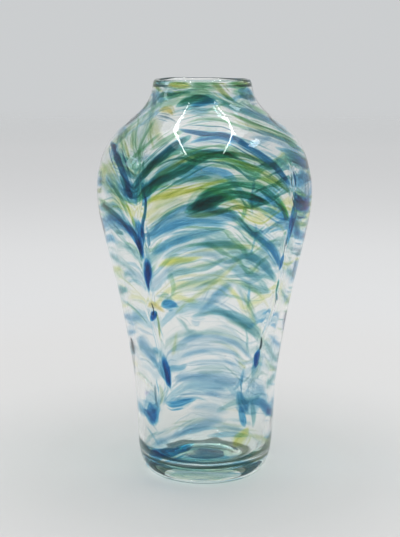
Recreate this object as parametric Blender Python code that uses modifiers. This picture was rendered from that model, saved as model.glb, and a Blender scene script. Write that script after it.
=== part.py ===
"""Hand blown cased glass vase: two clear gathers of glass with coloured trails laid between them and combed downward.

Millimetres in the driving dimensions, metres in the objects. +Z is up, the vase stands on z = 0, and its front faces -Y.
Azimuth is in degrees round the vase: 0 is the front, 90 is +X. Height is on the outer skin.
"""

import math

import bmesh
import bpy
import numpy as np

NAME = "art_glass_vase"
MM = 0.001

# ---- outer form: (height, outer radius) ----
PROFILE = (
    (0.0, 34.0), (1.2, 36.6), (4.0, 38.6), (10.0, 40.5), (18.0, 41.7), (30.0, 42.3), (50.0, 43.1),
    (70.0, 45.4), (90.0, 48.7), (110.0, 52.3), (130.0, 56.9), (150.0, 61.5), (162.0, 63.7),
    (172.0, 64.6), (181.0, 64.2), (189.0, 62.6), (197.0, 60.0), (204.0, 56.0), (210.0, 50.6),
    (215.0, 44.5), (220.0, 38.5), (225.0, 33.9), (230.0, 31.0), (235.0, 29.6), (240.0, 28.8),
)
HEIGHT = PROFILE[-1][0]

# ---- the wall, from the outside in ----
CASING = 1.3
GAP = 0.45
TRAIL = 0.7
GATHER = 1.4
WALL = CASING + GAP + TRAIL + GAP + GATHER

# ---- lip, foot and floor ----
LIP_HEIGHT = 3.0
LIP_GAP = 0.35
FOOT_INNER = 25.0
KICK_RADIUS = 15.5
KICK_HEIGHT = 2.2
CASING_FLOOR = 4.0
GATHER_FLOOR = 2.7
FLOOR_CORNER = 9.0
SCAR_RADIUS = 13.5
SCAR_THICK = 1.0
SCAR_GAP = 0.35

# ---- mesh steps ----
ROUND_STEPS = 40
BODY_STEP = 17.0
TRAIL_STEP = 7.0
SKIN_TABLE = 961

# ---- combing: the tool is drawn down these lines ----
COMBS = (54.0, 145.0, 225.0, 317.0)
FEATHER = 2.1

COLOURS = {
    "clear": ((0.93, 0.95, 0.94), 0.0),
    "navy": ((0.01, 0.05, 0.20), 0.02),
    "blue": ((0.03, 0.18, 0.45), 0.02),
    "pale_blue": ((0.28, 0.48, 0.68), 0.02),
    "teal": ((0.01, 0.20, 0.22), 0.02),
    "pale_teal": ((0.30, 0.52, 0.52), 0.02),
    "green": ((0.06, 0.28, 0.12), 0.02),
    "olive": ((0.28, 0.38, 0.10), 0.02),
    "lime": ((0.60, 0.66, 0.12), 0.02),
    "lemon": ((0.80, 0.80, 0.42), 0.02),
}

# ---- front trails: name, colour, (azimuth, height, width) at the left end, the crown and the right end ----
ARCHES = (
    ("neck_green_trail", "green", (-60, 230.6, 2.0), (-12, 234.0, 3.2), (20, 230.4, 2.0)),
    ("neck_teal_trail", "teal", (-36, 226.0, 2.0), (-6, 229.3, 3.2), (13, 227.6, 1.8)),
    ("neck_olive_streak", "olive", (18, 234.8, 1.6), (28, 233.2, 2.4), (60, 225.6, 1.8)),
    ("shoulder_teal_streak", "teal", (17, 225.2, 1.6), (36, 221.3, 3.6), (82, 209.0, 2.4)),
    ("shoulder_yellow_spot", "lime", (-50, 221.0, 1.6), (-40, 221.8, 3.0), (-26, 218.6, 1.6)),
    ("shoulder_navy_arch", "navy", (-14, 213.8, 2.0), (8, 211.3, 3.0), (47, 184.0, 2.0)),
    ("left_navy_trail", "navy", (-84, 206.0, 2.0), (-64, 202.0, 3.6), (-41, 178.5, 2.0)),
    ("dark_teal_arch", "teal", (-37, 183.0, 2.4), (-9, 206.0, 4.6), (-4, 206.6, 1.6)),
    ("dark_green_arch", "green", (-36, 175.0, 2.4), (6, 200.3, 5.0), (44, 183.6, 2.4)),
    ("lime_arch", "lime", (-30, 172.6, 1.8), (6, 186.6, 3.0), (14, 186.0, 1.6)),
    ("green_arch", "green", (8, 180.0, 1.6), (20, 180.8, 3.2), (48, 165.5, 2.0)),
    ("deep_green_fish", "teal", (-10, 170.8, 2.0), (4, 174.8, 4.6), (34, 166.0, 2.0)),
    ("broad_blue_arch", "blue", (-33, 153.0, 3.0), (-4, 165.0, 5.6), (22, 162.5, 3.0)),
    ("right_blue_streak", "blue", (28, 162.6, 2.0), (38, 162.6, 3.4), (49, 155.0, 2.0)),
    ("lower_blue_arch", "blue", (-34, 142.0, 2.6), (2, 156.2, 5.0), (48, 133.0, 3.0)),
    ("lemon_lens", "lemon", (-30, 136.0, 1.6), (-18, 141.8, 3.8), (-3, 145.0, 1.4)),
    ("lemon_arch", "lemon", (-8, 148.2, 1.2), (12, 148.6, 2.6), (34, 140.8, 1.6)),
    ("teal_wave", "teal", (-31, 128.5, 2.0), (12, 141.0, 4.0), (49, 124.0, 2.0)),
    ("pale_lime_streak", "lemon", (-28, 119.5, 1.6), (8, 130.5, 3.0), (24, 129.0, 1.6)),
    ("blue_lens", "blue", (26, 123.4, 1.6), (34, 124.0, 3.0), (47, 117.0, 1.6)),
    ("cornflower_patch", "pale_blue", (-8, 116.0, 2.0), (10, 121.3, 5.0), (24, 116.0, 2.0)),
    ("small_blue_spot", "blue", (-29, 111.2, 1.6), (-22, 113.3, 4.0), (-14, 112.0, 1.6)),
    ("falling_teal_streak", "pale_teal", (-6, 109.3, 1.6), (14, 108.6, 3.4), (40, 95.0, 2.0)),
    ("grey_teal_streak", "pale_teal", (-28, 98.6, 1.4), (-12, 103.0, 2.6), (2, 102.2, 1.4)),
    ("middle_blue_band", "pale_blue", (-27, 85.4, 2.0), (2, 94.4, 4.0), (37, 79.5, 2.0)),
    ("thin_blue_band", "pale_blue", (-27, 75.6, 2.0), (4, 84.4, 3.2), (37, 70.6, 2.0)),
    ("wide_pale_band", "pale_blue", (-27, 63.4, 2.4), (4, 71.2, 7.0), (30, 60.5, 3.0)),
    ("blue_teardrop", "blue", (-36, 50.6, 2.0), (-26, 52.0, 4.4), (-6, 55.6, 1.6)),
    ("right_blue_knot", "blue", (9, 53.0, 1.6), (27, 51.0, 3.6), (50, 49.0, 2.0)),
    ("low_blue_band", "pale_blue", (-26, 30.4, 2.0), (6, 42.0, 4.4), (25, 39.8, 2.0)),
    ("foot_blue_band", "blue", (-57, 12.6, 2.4), (-34, 19.6, 5.6), (-11, 23.0, 2.0)),
    ("foot_lemon_spot", "lemon", (22, 27.6, 1.4), (33, 28.4, 3.6), (46, 24.6, 1.4)),
    ("foot_teal_band", "pale_teal", (24, 14.6, 2.0), (34, 15.4, 3.4), (60, 10.6, 2.0)),
)

# ---- trails that go on round both sides and the back: name, colour, crown height, drag at the comb lines, width, start and end azimuth ----
WRAPS = (
    ("side_neck_wrap", "pale_teal", 221.5, 3.0, 3.0, 92.0, 284.0),
    ("side_green_wrap", "green", 193.5, 17.0, 4.2, 58.0, 313.0),
    ("side_blue_wrap", "blue", 177.0, 17.0, 5.2, 57.0, 313.0),
    ("side_lemon_wrap", "lemon", 163.0, 16.0, 3.6, 57.0, 313.0),
    ("side_navy_wrap", "navy", 150.0, 16.0, 4.4, 57.0, 313.0),
    ("side_teal_wrap", "teal", 135.5, 15.0, 4.4, 57.0, 313.0),
    ("side_pale_wrap", "pale_blue", 121.0, 15.0, 4.0, 59.0, 313.0),
    ("side_lime_wrap", "lime", 106.5, 14.0, 3.2, 57.0, 313.0),
    ("side_middle_wrap", "blue", 91.5, 13.0, 4.4, 55.0, 313.0),
    ("side_grey_wrap", "pale_teal", 75.5, 12.0, 4.0, 54.0, 317.0),
    ("side_low_wrap", "pale_blue", 59.0, 12.0, 4.4, 54.0, 311.0),
    ("side_foot_wrap", "blue", 38.5, 11.0, 5.6, 54.0, 313.0),
)

# ---- colour drawn down along a comb line: name, colour, azimuth and height at the top, azimuth and height at the bottom, widest width ----
DRIPS = (
    ("left_cusp_drip", "navy", -38.0, 168.0, -37.5, 121.0, 3.6),
    ("left_lower_drip", "blue", -37.0, 109.0, -36.5, 95.0, 3.0),
    ("left_foot_drip", "blue", -31.5, 81.0, -31.0, 56.0, 3.4),
    ("far_left_drip", "navy", -43.5, 62.0, -44.5, 48.0, 1.8),
    ("right_cusp_drip", "navy", 52.5, 176.0, 53.0, 114.0, 2.4),
    ("right_middle_drip", "green", 43.0, 101.0, 41.5, 75.0, 2.6),
    ("right_foot_drip", "blue", 33.0, 47.2, 34.0, 37.0, 3.0),
)


class Skin:
    """The outer profile as a table, so that a point can be placed by its distance along the wall."""

    def __init__(self):
        h = np.array([p[0] for p in PROFILE])
        r = np.array([p[1] for p in PROFILE])
        step = np.diff(h)
        rise = np.diff(r) / step
        slope = np.zeros(len(h))
        slope[0], slope[-1] = rise[0], rise[-1]
        for i in range(1, len(h) - 1):
            if rise[i - 1] * rise[i] > 0:
                a, b = 2 * step[i] + step[i - 1], step[i] + 2 * step[i - 1]
                slope[i] = (a + b) / (a / rise[i - 1] + b / rise[i])
        self.h = np.linspace(0.0, HEIGHT, SKIN_TABLE)
        i = np.clip(np.searchsorted(h, self.h, side="right") - 1, 0, len(h) - 2)
        t = (self.h - h[i]) / step[i]
        self.r = (
            (2 * t**3 - 3 * t**2 + 1) * r[i]
            + (t**3 - 2 * t**2 + t) * step[i] * slope[i]
            + (-2 * t**3 + 3 * t**2) * r[i + 1]
            + (t**3 - t**2) * step[i] * slope[i + 1]
        )
        along = np.hypot(np.diff(self.h), np.diff(self.r))
        self.m = np.concatenate([[0.0], np.cumsum(along)])
        dh, dr = np.gradient(self.h), np.gradient(self.r)
        size = np.hypot(dh, dr)
        self.nr, self.nz = dh / size, -dr / size

    def along(self, height):
        return float(np.interp(height, self.h, self.m))

    def height(self, along):
        return float(np.interp(along, self.m, self.h))

    def inward(self, height, depth):
        """(radius, height) of the point that lies depth inside the outer skin, square to it."""
        r = np.interp(height, self.h, self.r)
        nr = np.interp(height, self.h, self.nr)
        nz = np.interp(height, self.h, self.nz)
        return float(r - depth * nr), float(height - depth * nz)

    def point(self, azimuth, along, depth):
        r, z = self.inward(self.height(along), depth)
        a = math.radians(azimuth)
        return (r * math.sin(a) * MM, -r * math.cos(a) * MM, z * MM)


SKIN = Skin()


def wall_line(low, high, depth, step=BODY_STEP):
    """Points up the wall at one depth, evenly spaced along it, closer where it turns at the shoulder."""
    a, b = SKIN.along(low), SKIN.along(high)
    fine = np.linspace(a, b, 400)
    heights = np.interp(fine, SKIN.m, SKIN.h)
    bend = np.abs(np.gradient(np.arctan2(np.interp(heights, SKIN.h, SKIN.nz), np.interp(heights, SKIN.h, SKIN.nr)), fine))
    weight = (1.0 + 6.0 * np.sqrt(np.clip(bend, 0.0, 0.05))) / step
    total = np.concatenate([[0.0], np.cumsum((weight[1:] + weight[:-1]) / 2 * np.diff(fine))])
    count = max(2, round(total[-1]))
    at = np.interp(np.linspace(0.0, total[-1], count + 1), total, heights)
    return [SKIN.inward(h, depth) for h in at]


def material(name, colour, roughness):
    m = bpy.data.materials.new(name)
    m.use_nodes = True
    shader = m.node_tree.nodes["Principled BSDF"]
    shader.inputs["Base Color"].default_value = (*colour, 1.0)
    shader.inputs["Roughness"].default_value = roughness
    shader.inputs["IOR"].default_value = 1.5
    shader.inputs["Transmission Weight"].default_value = 0.85
    return m


def own_material(obj, colour_name):
    colour, roughness = COLOURS[colour_name]
    obj.data.materials.append(material(obj.name + "_glass", colour, roughness))


def revolve(name, line, collection):
    """A closed solid turned from a line that starts and ends on the axis."""
    mesh = bpy.data.meshes.new(name)
    bm = bmesh.new()
    last = None
    for r, z in line:
        vert = bm.verts.new((r * MM, 0.0, z * MM))
        if last is not None:
            bm.edges.new((last, vert))
        last = vert
    bm.to_mesh(mesh)
    bm.free()
    obj = bpy.data.objects.new(name, mesh)
    collection.objects.link(obj)
    turn = obj.modifiers.new("Screw", "SCREW")
    turn.axis = "Z"
    turn.angle = math.tau
    turn.steps = turn.render_steps = ROUND_STEPS
    turn.use_merge_vertices = True
    turn.merge_threshold = 0.00002
    return obj


def arc(centre_r, centre_z, radius, start, end, count):
    out = []
    for i in range(count + 1):
        a = math.radians(start + (end - start) * i / count)
        out.append((centre_r + radius * math.cos(a), centre_z + radius * math.sin(a)))
    return out


def strip(name, colour_name, spine, collection):
    """A ribbon of glass on the wall: spine is a list of (azimuth, along the wall, width across, width round), and exactly one of the widths is used."""
    count = len(spine) - 1
    bm = bmesh.new()
    bmesh.ops.create_grid(bm, x_segments=count, y_segments=2, size=1.0)
    for vert in bm.verts:
        i = round((vert.co.x + 1.0) / 2.0 * count)
        side = round(vert.co.y)
        azimuth, along, tall, wide = spine[i]
        radius = SKIN.inward(SKIN.height(along), CASING + GAP)[0]
        azimuth += math.degrees(side * wide / 2.0 / radius)
        vert.co = SKIN.point(azimuth, along + side * tall / 2.0, CASING + GAP)
    bm.normal_update()
    if sum(f.normal.dot(f.calc_center_median() * 1.0) for f in bm.faces) < 0:
        bmesh.ops.reverse_faces(bm, faces=bm.faces[:])
    mesh = bpy.data.meshes.new(name)
    bm.to_mesh(mesh)
    bm.free()
    obj = bpy.data.objects.new(name, mesh)
    collection.objects.link(obj)
    thick = obj.modifiers.new("Solidify", "SOLIDIFY")
    thick.thickness = TRAIL * MM
    thick.offset = -1.0
    thick.use_even_offset = True
    own_material(obj, colour_name)
    return obj


def arch_spine(left, crown, right):
    """A feathered arch: it falls away from its crown faster the nearer it gets to the comb line at each end."""
    count = max(4, math.ceil((right[0] - left[0]) / TRAIL_STEP))
    spine = []
    for i in range(count + 1):
        azimuth = left[0] + (right[0] - left[0]) * i / count
        end = left if azimuth < crown[0] else right
        s = abs(azimuth - crown[0]) / max(abs(end[0] - crown[0]), 1e-6)
        height = crown[1] + (end[1] - crown[1]) * s**FEATHER
        width = crown[2] + (end[2] - crown[2]) * s**2
        spine.append((azimuth, SKIN.along(height), width, 0.0))
    return spine


def wrap_spine(height, drag, width, start, end):
    """A trail wound on round the vase, pulled down by drag at each comb line that it crosses."""
    count = math.ceil((end - start) / (TRAIL_STEP + 2.0))
    spine = []
    for i in range(count + 1):
        azimuth = start + (end - start) * i / count
        k = max(j for j in range(3) if j == 0 or azimuth >= COMBS[j])
        u = (azimuth - COMBS[k]) / (COMBS[k + 1] - COMBS[k])
        pulled = min(1.0, abs(2.0 * u - 1.0)) ** FEATHER
        taper = min(1.0, 0.45 + min(azimuth - start, end - azimuth) / 22.0)
        spine.append((azimuth, SKIN.along(height - drag * pulled), width * taper * (1.0 - 0.3 * pulled), 0.0))
    return spine


def drip_spine(azimuth_top, top, azimuth_bottom, bottom, width):
    a, b = SKIN.along(top), SKIN.along(bottom)
    count = max(4, math.ceil((a - b) / 7.0))
    spine = []
    for i in range(count + 1):
        t = i / count
        swell = 0.35 + 0.65 * math.sin(math.pi * min(1.0, max(0.0, t)) ** 0.8)
        spine.append((azimuth_top + (azimuth_bottom - azimuth_top) * t, a + (b - a) * t, 0.0, width * swell))
    return spine


def outer_casing(collection):
    """The second gather: outer wall, fire-polished lip and foot."""
    lip = WALL / 2.0
    top_r, _ = SKIN.inward(HEIGHT, 0.0)
    lip_z = HEIGHT - lip
    inner_low = HEIGHT - LIP_HEIGHT
    floor = CASING_FLOOR
    inside = wall_line(FLOOR_CORNER, inner_low, CASING)
    corner_r, corner_z = inside[0]
    corner = corner_z - floor
    line = [(0.0, floor), (corner_r - corner - 6.0, floor)]
    line += arc(corner_r - corner, floor + corner, corner, -90.0, 0.0, 4)[:-1]
    line += inside
    line.append(SKIN.inward(inner_low, WALL))
    line += [(r, z) for r, z in reversed(arc(top_r - lip, lip_z, lip, 0.0, 180.0, 6))]
    outside = wall_line(1.2, lip_z - 0.6, 0.0)
    line += list(reversed(outside))
    line.append((PROFILE[0][1], 0.0))
    line.append((FOOT_INNER, 0.0))
    line.append((KICK_RADIUS + 1.5, KICK_HEIGHT * 0.8))
    line.append((KICK_RADIUS, KICK_HEIGHT))
    line.append((0.0, KICK_HEIGHT))
    obj = revolve("outer_casing", line, collection)
    own_material(obj, "clear")
    return obj


def inner_gather(collection):
    """The first gather: inner wall and floor."""
    under = CASING_FLOOR + 2.0 * GAP
    outer_depth = CASING + GAP + TRAIL + GAP
    top = HEIGHT - LIP_HEIGHT - LIP_GAP
    outside = wall_line(FLOOR_CORNER + 4.0, top, outer_depth)
    out_r, out_z = outside[0]
    corner = out_z - under
    floor = under + GATHER_FLOOR
    inside = wall_line(floor + 11.0, top, WALL)
    in_r, in_z = inside[0]
    bowl = in_z - floor
    line = [(0.0, floor), (in_r - bowl - 6.0, floor)]
    line += arc(in_r - bowl, floor + bowl, bowl, -90.0, 0.0, 4)[:-1]
    line += inside
    line += list(reversed(outside))
    line += list(reversed(arc(out_r - corner, under + corner, corner, -90.0, 0.0, 4)[:-1]))
    line.append((0.0, under))
    obj = revolve("inner_gather", line, collection)
    own_material(obj, "clear")
    return obj


def pontil_scar(collection):
    """The little pad of glass that the punty leaves in the hollow of the foot."""
    top = KICK_HEIGHT - SCAR_GAP
    low = top - SCAR_THICK
    line = [(0.0, top), (SCAR_RADIUS - 0.8, top), (SCAR_RADIUS, top - 0.3), (SCAR_RADIUS - 0.4, low + 0.2), (SCAR_RADIUS - 1.4, low), (0.0, low)]
    obj = revolve("pontil_scar", line, collection)
    own_material(obj, "pale_teal")
    return obj


def main():
    for obj in list(bpy.data.objects):
        bpy.data.objects.remove(obj, do_unlink=True)
    parts = bpy.data.collections.new(NAME)
    bpy.context.scene.collection.children.link(parts)
    outer_casing(parts)
    inner_gather(parts)
    pontil_scar(parts)
    for name, colour, left, crown, right in ARCHES:
        strip(name, colour, arch_spine(left, crown, right), parts)
    for name, colour, height, drag, width, start, end in WRAPS:
        strip(name, colour, wrap_spine(height, drag, width, start, end), parts)
    for name, colour, azimuth_top, top, azimuth_bottom, bottom, width in DRIPS:
        strip(name, colour, drip_spine(azimuth_top, top, azimuth_bottom, bottom, width), parts)


main()
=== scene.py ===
"""Looks of the hand blown art glass vase: two clear gathers fused round combed trails of coloured glass."""

import math

import bmesh
import bpy
import numpy as np
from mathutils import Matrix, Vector


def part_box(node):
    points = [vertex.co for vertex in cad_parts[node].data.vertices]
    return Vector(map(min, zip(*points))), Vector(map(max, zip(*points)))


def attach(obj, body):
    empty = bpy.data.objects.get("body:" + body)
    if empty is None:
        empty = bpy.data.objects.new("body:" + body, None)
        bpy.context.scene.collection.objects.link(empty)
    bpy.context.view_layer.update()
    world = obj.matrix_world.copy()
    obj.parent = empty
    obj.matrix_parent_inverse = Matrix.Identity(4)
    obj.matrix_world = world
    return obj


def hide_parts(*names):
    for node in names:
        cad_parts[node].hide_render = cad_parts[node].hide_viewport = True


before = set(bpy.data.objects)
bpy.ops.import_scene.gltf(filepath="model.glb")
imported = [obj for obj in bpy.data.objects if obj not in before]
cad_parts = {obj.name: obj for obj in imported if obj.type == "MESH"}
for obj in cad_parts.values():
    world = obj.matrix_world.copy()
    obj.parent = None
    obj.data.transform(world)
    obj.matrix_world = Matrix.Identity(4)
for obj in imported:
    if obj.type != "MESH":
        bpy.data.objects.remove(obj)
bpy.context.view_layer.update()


MM = 0.001
TAU = 2.0 * math.pi

# ---------------------------------------------------------------------------------------------------------------------
# the form, as in the CAD: (height, outer radius) in mm, and the depth of each layer inside the outer skin
# ---------------------------------------------------------------------------------------------------------------------
PROFILE = (
    (0.0, 34.0), (1.2, 36.6), (4.0, 38.6), (10.0, 40.5), (18.0, 41.7), (30.0, 42.3), (50.0, 43.1),
    (70.0, 45.4), (90.0, 48.7), (110.0, 52.3), (130.0, 56.9), (150.0, 61.5), (162.0, 63.7),
    (172.0, 64.6), (181.0, 64.2), (189.0, 62.6), (197.0, 60.0), (204.0, 56.0), (210.0, 50.6),
    (215.0, 44.5), (220.0, 38.5), (225.0, 33.9), (230.0, 31.0), (235.0, 29.6), (240.0, 28.8),
)
HEIGHT = 240.0
CASING_DEPTH = 1.3
GATHER_DEPTH = 2.9
WALL = 4.3
LIP = 3.3
LIP_HEIGHT = 3.0


class Skin:
    """The outer profile as a smooth table of height, radius, distance along the wall and outward direction."""

    def __init__(self, count=1921):
        h = np.array([p[0] for p in PROFILE])
        r = np.array([p[1] for p in PROFILE])
        step = np.diff(h)
        rise = np.diff(r) / step
        slope = np.zeros(len(h))
        slope[0], slope[-1] = rise[0], rise[-1]
        for i in range(1, len(h) - 1):
            if rise[i - 1] * rise[i] > 0:
                a, b = 2 * step[i] + step[i - 1], step[i] + 2 * step[i - 1]
                slope[i] = (a + b) / (a / rise[i - 1] + b / rise[i])
        self.h = np.linspace(0.0, HEIGHT, count)
        i = np.clip(np.searchsorted(h, self.h, side="right") - 1, 0, len(h) - 2)
        t = (self.h - h[i]) / step[i]
        radius = (
            (2 * t**3 - 3 * t**2 + 1) * r[i]
            + (t**3 - 2 * t**2 + t) * step[i] * slope[i]
            + (-2 * t**3 + 3 * t**2) * r[i + 1]
            + (t**3 - t**2) * step[i] * slope[i + 1]
        )
        # a light smoothing over about 5 mm takes out the stations' small kinks, and leaves the foot alone
        width = 21
        kernel = np.hanning(2 * width + 1)
        kernel /= kernel.sum()
        padded = np.concatenate([2 * radius[0] - radius[width:0:-1], radius, 2 * radius[-1] - radius[-2:-width - 2:-1]])
        smooth = np.convolve(padded, kernel, mode="valid")
        keep = np.clip((self.h - 8.0) / 10.0, 0.0, 1.0)
        self.r = radius * (1 - keep) + smooth * keep
        self.m = np.concatenate([[0.0], np.cumsum(np.hypot(np.diff(self.h), np.diff(self.r)))])
        dh, dr = np.gradient(self.h), np.gradient(self.r)
        size = np.hypot(dh, dr)
        self.nr, self.nz = dh / size, -dr / size

    def along(self, height):
        return np.interp(height, self.h, self.m)

    def height(self, along):
        return np.interp(along, self.m, self.h)


SKIN = Skin()


def waves(seed, count, az_most, span, power=0.8):
    """A smooth wobble that closes round the vase: a function of azimuth in radians and distance along the wall in mm, about -1 to 1."""
    rng = np.random.default_rng(seed)
    ka = rng.integers(0, az_most + 1, count)
    km = rng.uniform(0.25, 1.0, count) * TAU / span * rng.choice([-1, 1], count)
    phase = rng.uniform(0, TAU, count)
    size = 1.0 / (0.6 + ka / az_most + np.abs(km) * span / TAU) ** power
    size /= math.sqrt((size**2).sum() / 2.0) * 1.6

    def value(azimuth, along):
        total = np.zeros(np.broadcast(azimuth, along).shape)
        for a, b, p, s in zip(ka, km, phase, size):
            total += s * np.cos(a * azimuth + b * along + p)
        return total

    return value


BODY_WOBBLE = waves(3, 14, 3, 120.0)
OUTER_RIPPLE = waves(11, 60, 16, 26.0, 0.5)
INNER_RIPPLE = waves(12, 60, 14, 30.0, 0.5)


def lean(height):
    """The sideways wander of the axis of a free-blown piece, in mm."""
    return np.interp(height, [0, 40, 100, 170, 205, 240], [0.5, 1.0, 0.8, 0.35, -0.2, -1.1])


def spot(azimuth, along, depth):
    """World points, in metres, from azimuth in degrees, distance along the outer skin in mm and depth inside it in mm."""
    azimuth, along, depth = np.broadcast_arrays(np.asarray(azimuth, float), np.asarray(along, float), np.asarray(depth, float))
    h = SKIN.height(along)
    r = np.interp(h, SKIN.h, SKIN.r)
    nr = np.interp(h, SKIN.h, SKIN.nr)
    nz = np.interp(h, SKIN.h, SKIN.nz)
    a = np.radians(azimuth)
    r = r - depth * nr + 0.25 * BODY_WOBBLE(a, along) * np.clip(h / 25.0, 0, 1) * np.clip((HEIGHT - h) / 12.0, 0.25, 1)
    z = h - depth * nz
    return np.stack([(r * np.sin(a) + lean(h)) * MM, -r * np.cos(a) * MM, z * MM], -1)


# ---------------------------------------------------------------------------------------------------------------------
# the comb lines: azimuth of each, by height
# ---------------------------------------------------------------------------------------------------------------------
COMB_HEIGHTS = (0.0, 30.0, 60.0, 85.0, 110.0, 130.0, 150.0, 175.0, 200.0, 240.0)
COMBS = (
    (-52.0, -49.0, -31.0, -33.0, -36.5, -36.0, -36.5, -34.0, -36.0, -38.0),
    (34.0, 34.0, 38.0, 42.5, 50.0, 50.5, 50.0, 51.5, 53.0, 54.0),
    (143.0, 141.0, 139.0, 141.0, 143.0, 145.0, 146.0, 147.0, 147.0, 147.0),
    (228.0, 230.0, 231.0, 229.0, 226.0, 224.0, 223.0, 222.0, 222.0, 222.0),
)


def comb_azimuth(k, height):
    return np.interp(height, COMB_HEIGHTS, COMBS[k % 4]) + 360.0 * (k // 4)


def link(obj):
    bpy.context.scene.collection.objects.link(obj)
    return obj


def mesh_object(name, verts, faces, materials, slots=None, smooth=True):
    mesh = bpy.data.meshes.new(name)
    mesh.from_pydata([tuple(v) for v in verts], [], [tuple(f) for f in faces])
    for m in materials:
        mesh.materials.append(m)
    if slots is not None:
        mesh.polygons.foreach_set("material_index", np.asarray(slots, np.int32))
    mesh.polygons.foreach_set("use_smooth", np.full(len(mesh.polygons), smooth))
    bm = bmesh.new()
    bm.from_mesh(mesh)
    bmesh.ops.recalc_face_normals(bm, faces=bm.faces[:])
    bm.to_mesh(mesh)
    bm.free()
    mesh.update()
    return link(bpy.data.objects.new(name, mesh))


# ---------------------------------------------------------------------------------------------------------------------
# materials
# ---------------------------------------------------------------------------------------------------------------------
def new_material(name):
    m = bpy.data.materials.new(name)
    m.use_nodes = True
    m.node_tree.nodes.clear()
    return m, m.node_tree


def add(nt, kind, **values):
    node = nt.nodes.new(kind)
    for key, value in values.items():
        setattr(node, key, value)
    return node


def maths(nt, operation, a, b=None, c=None, clamp=False):
    node = add(nt, "ShaderNodeMath", operation=operation, use_clamp=clamp)
    for i, v in enumerate((a, b, c)):
        if v is None:
            continue
        if isinstance(v, (int, float)):
            node.inputs[i].default_value = v
        else:
            nt.links.new(v, node.inputs[i])
    return node.outputs[0]


def attribute(nt, name):
    return add(nt, "ShaderNodeAttribute", attribute_type="GEOMETRY", attribute_name=name).outputs["Fac"]


def smoothstep(nt, value, low, high):
    node = add(nt, "ShaderNodeMapRange", interpolation_type="SMOOTHSTEP")
    nt.links.new(value, node.inputs["Value"])
    node.inputs["From Min"].default_value = low
    node.inputs["From Max"].default_value = high
    return node.outputs["Result"]


def clear_glass(name, bump, seed):
    """A fused face of clear glass: polished, with the faint draw lines and orange-peel of a blown surface."""
    m, nt = new_material(name)
    out = add(nt, "ShaderNodeOutputMaterial")
    shader = add(nt, "ShaderNodeBsdfPrincipled")
    shader.inputs["Base Color"].default_value = (0.975, 0.985, 0.975, 1.0)
    shader.inputs["Roughness"].default_value = 0.0
    shader.inputs["IOR"].default_value = 1.5
    shader.inputs["Specular Tint"].default_value = (0.75, 0.75, 0.75, 1.0)
    shader.inputs["Transmission Weight"].default_value = 1.0
    where = add(nt, "ShaderNodeTexCoord").outputs["Object"]
    stretch = add(nt, "ShaderNodeMapping")
    stretch.inputs["Location"].default_value = (seed * 1.7, seed * 0.9, seed * 2.3)
    stretch.inputs["Scale"].default_value = (38.0, 38.0, 95.0)
    nt.links.new(where, stretch.inputs["Vector"])
    noise = add(nt, "ShaderNodeTexNoise")
    noise.inputs["Scale"].default_value = 1.0
    noise.inputs["Detail"].default_value = 2.0
    noise.inputs["Distortion"].default_value = 0.6
    nt.links.new(stretch.outputs[0], noise.inputs["Vector"])
    lift = add(nt, "ShaderNodeBump")
    lift.inputs["Strength"].default_value = 1.0
    lift.inputs["Distance"].default_value = bump * MM
    nt.links.new(noise.outputs["Fac"], lift.inputs["Height"])
    nt.links.new(lift.outputs["Normal"], shader.inputs["Normal"])
    thin = add(nt, "ShaderNodeBsdfTransparent")
    thin.inputs["Color"].default_value = (0.95, 0.965, 0.955, 1.0)
    mix = add(nt, "ShaderNodeMixShader")
    nt.links.new(add(nt, "ShaderNodeLightPath").outputs["Is Shadow Ray"], mix.inputs["Fac"])
    nt.links.new(shader.outputs[0], mix.inputs[1])
    nt.links.new(thin.outputs[0], mix.inputs[2])
    nt.links.new(mix.outputs[0], out.inputs["Surface"])
    return m


def fused_face(name):
    """Where two bodies of the same glass meet there is nothing to see."""
    m, nt = new_material(name)
    out = add(nt, "ShaderNodeOutputMaterial")
    shader = add(nt, "ShaderNodeBsdfTransparent")
    shader.inputs["Color"].default_value = (1.0, 1.0, 1.0, 1.0)
    nt.links.new(shader.outputs[0], out.inputs["Surface"])
    return m


def linear(c):
    c /= 255.0
    return c / 12.92 if c <= 0.04045 else ((c + 0.055) / 1.055) ** 2.4


def passed(red, green, blue):
    """What a film lets through so that pale ground behind it looks this colour."""
    ground = linear(222)
    return tuple(min(0.985, max(0.004, linear(c) / ground)) for c in (red, green, blue))


# name: colour seen on a pale ground, milkiness, edge softness, streakiness
PALETTE = {
    "deep_teal": ((4, 86, 88), 0.07, 0.32, 0.6),
    "dark_green": ((16, 104, 80), 0.08, 0.34, 0.6),
    "green": ((86, 154, 112), 0.14, 0.5, 0.6),
    "pale_green": ((172, 200, 168), 0.22, 0.85, 0.5),
    "olive": ((124, 148, 74), 0.12, 0.62, 0.6),
    "lime": ((194, 202, 78), 0.2, 0.65, 0.5),
    "yellow": ((222, 220, 108), 0.24, 0.7, 0.45),
    "pale_yellow": ((228, 228, 174), 0.24, 0.85, 0.45),
    "amber": ((200, 180, 92), 0.16, 0.65, 0.5),
    "navy": ((4, 74, 120), 0.06, 0.32, 0.6),
    "cobalt": ((20, 108, 172), 0.12, 0.4, 0.55),
    "cusp_blue": ((2, 90, 160), 0.08, 0.36, 0.4),
    "mid_blue": ((92, 162, 194), 0.2, 0.5, 0.55),
    "blue_green": ((82, 152, 160), 0.18, 0.5, 0.6),
    "cornflower": ((146, 187, 212), 0.28, 0.75, 0.4),
    "sky": ((166, 202, 220), 0.24, 0.8, 0.4),
    "grey_teal": ((154, 192, 190), 0.22, 0.75, 0.45),
    "slate": ((88, 122, 138), 0.12, 0.7, 0.55),
    "lilac": ((172, 178, 214), 0.24, 0.75, 0.4),
    "ink": ((30, 48, 54), 0.03, 0.45, 0.5),
}


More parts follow.
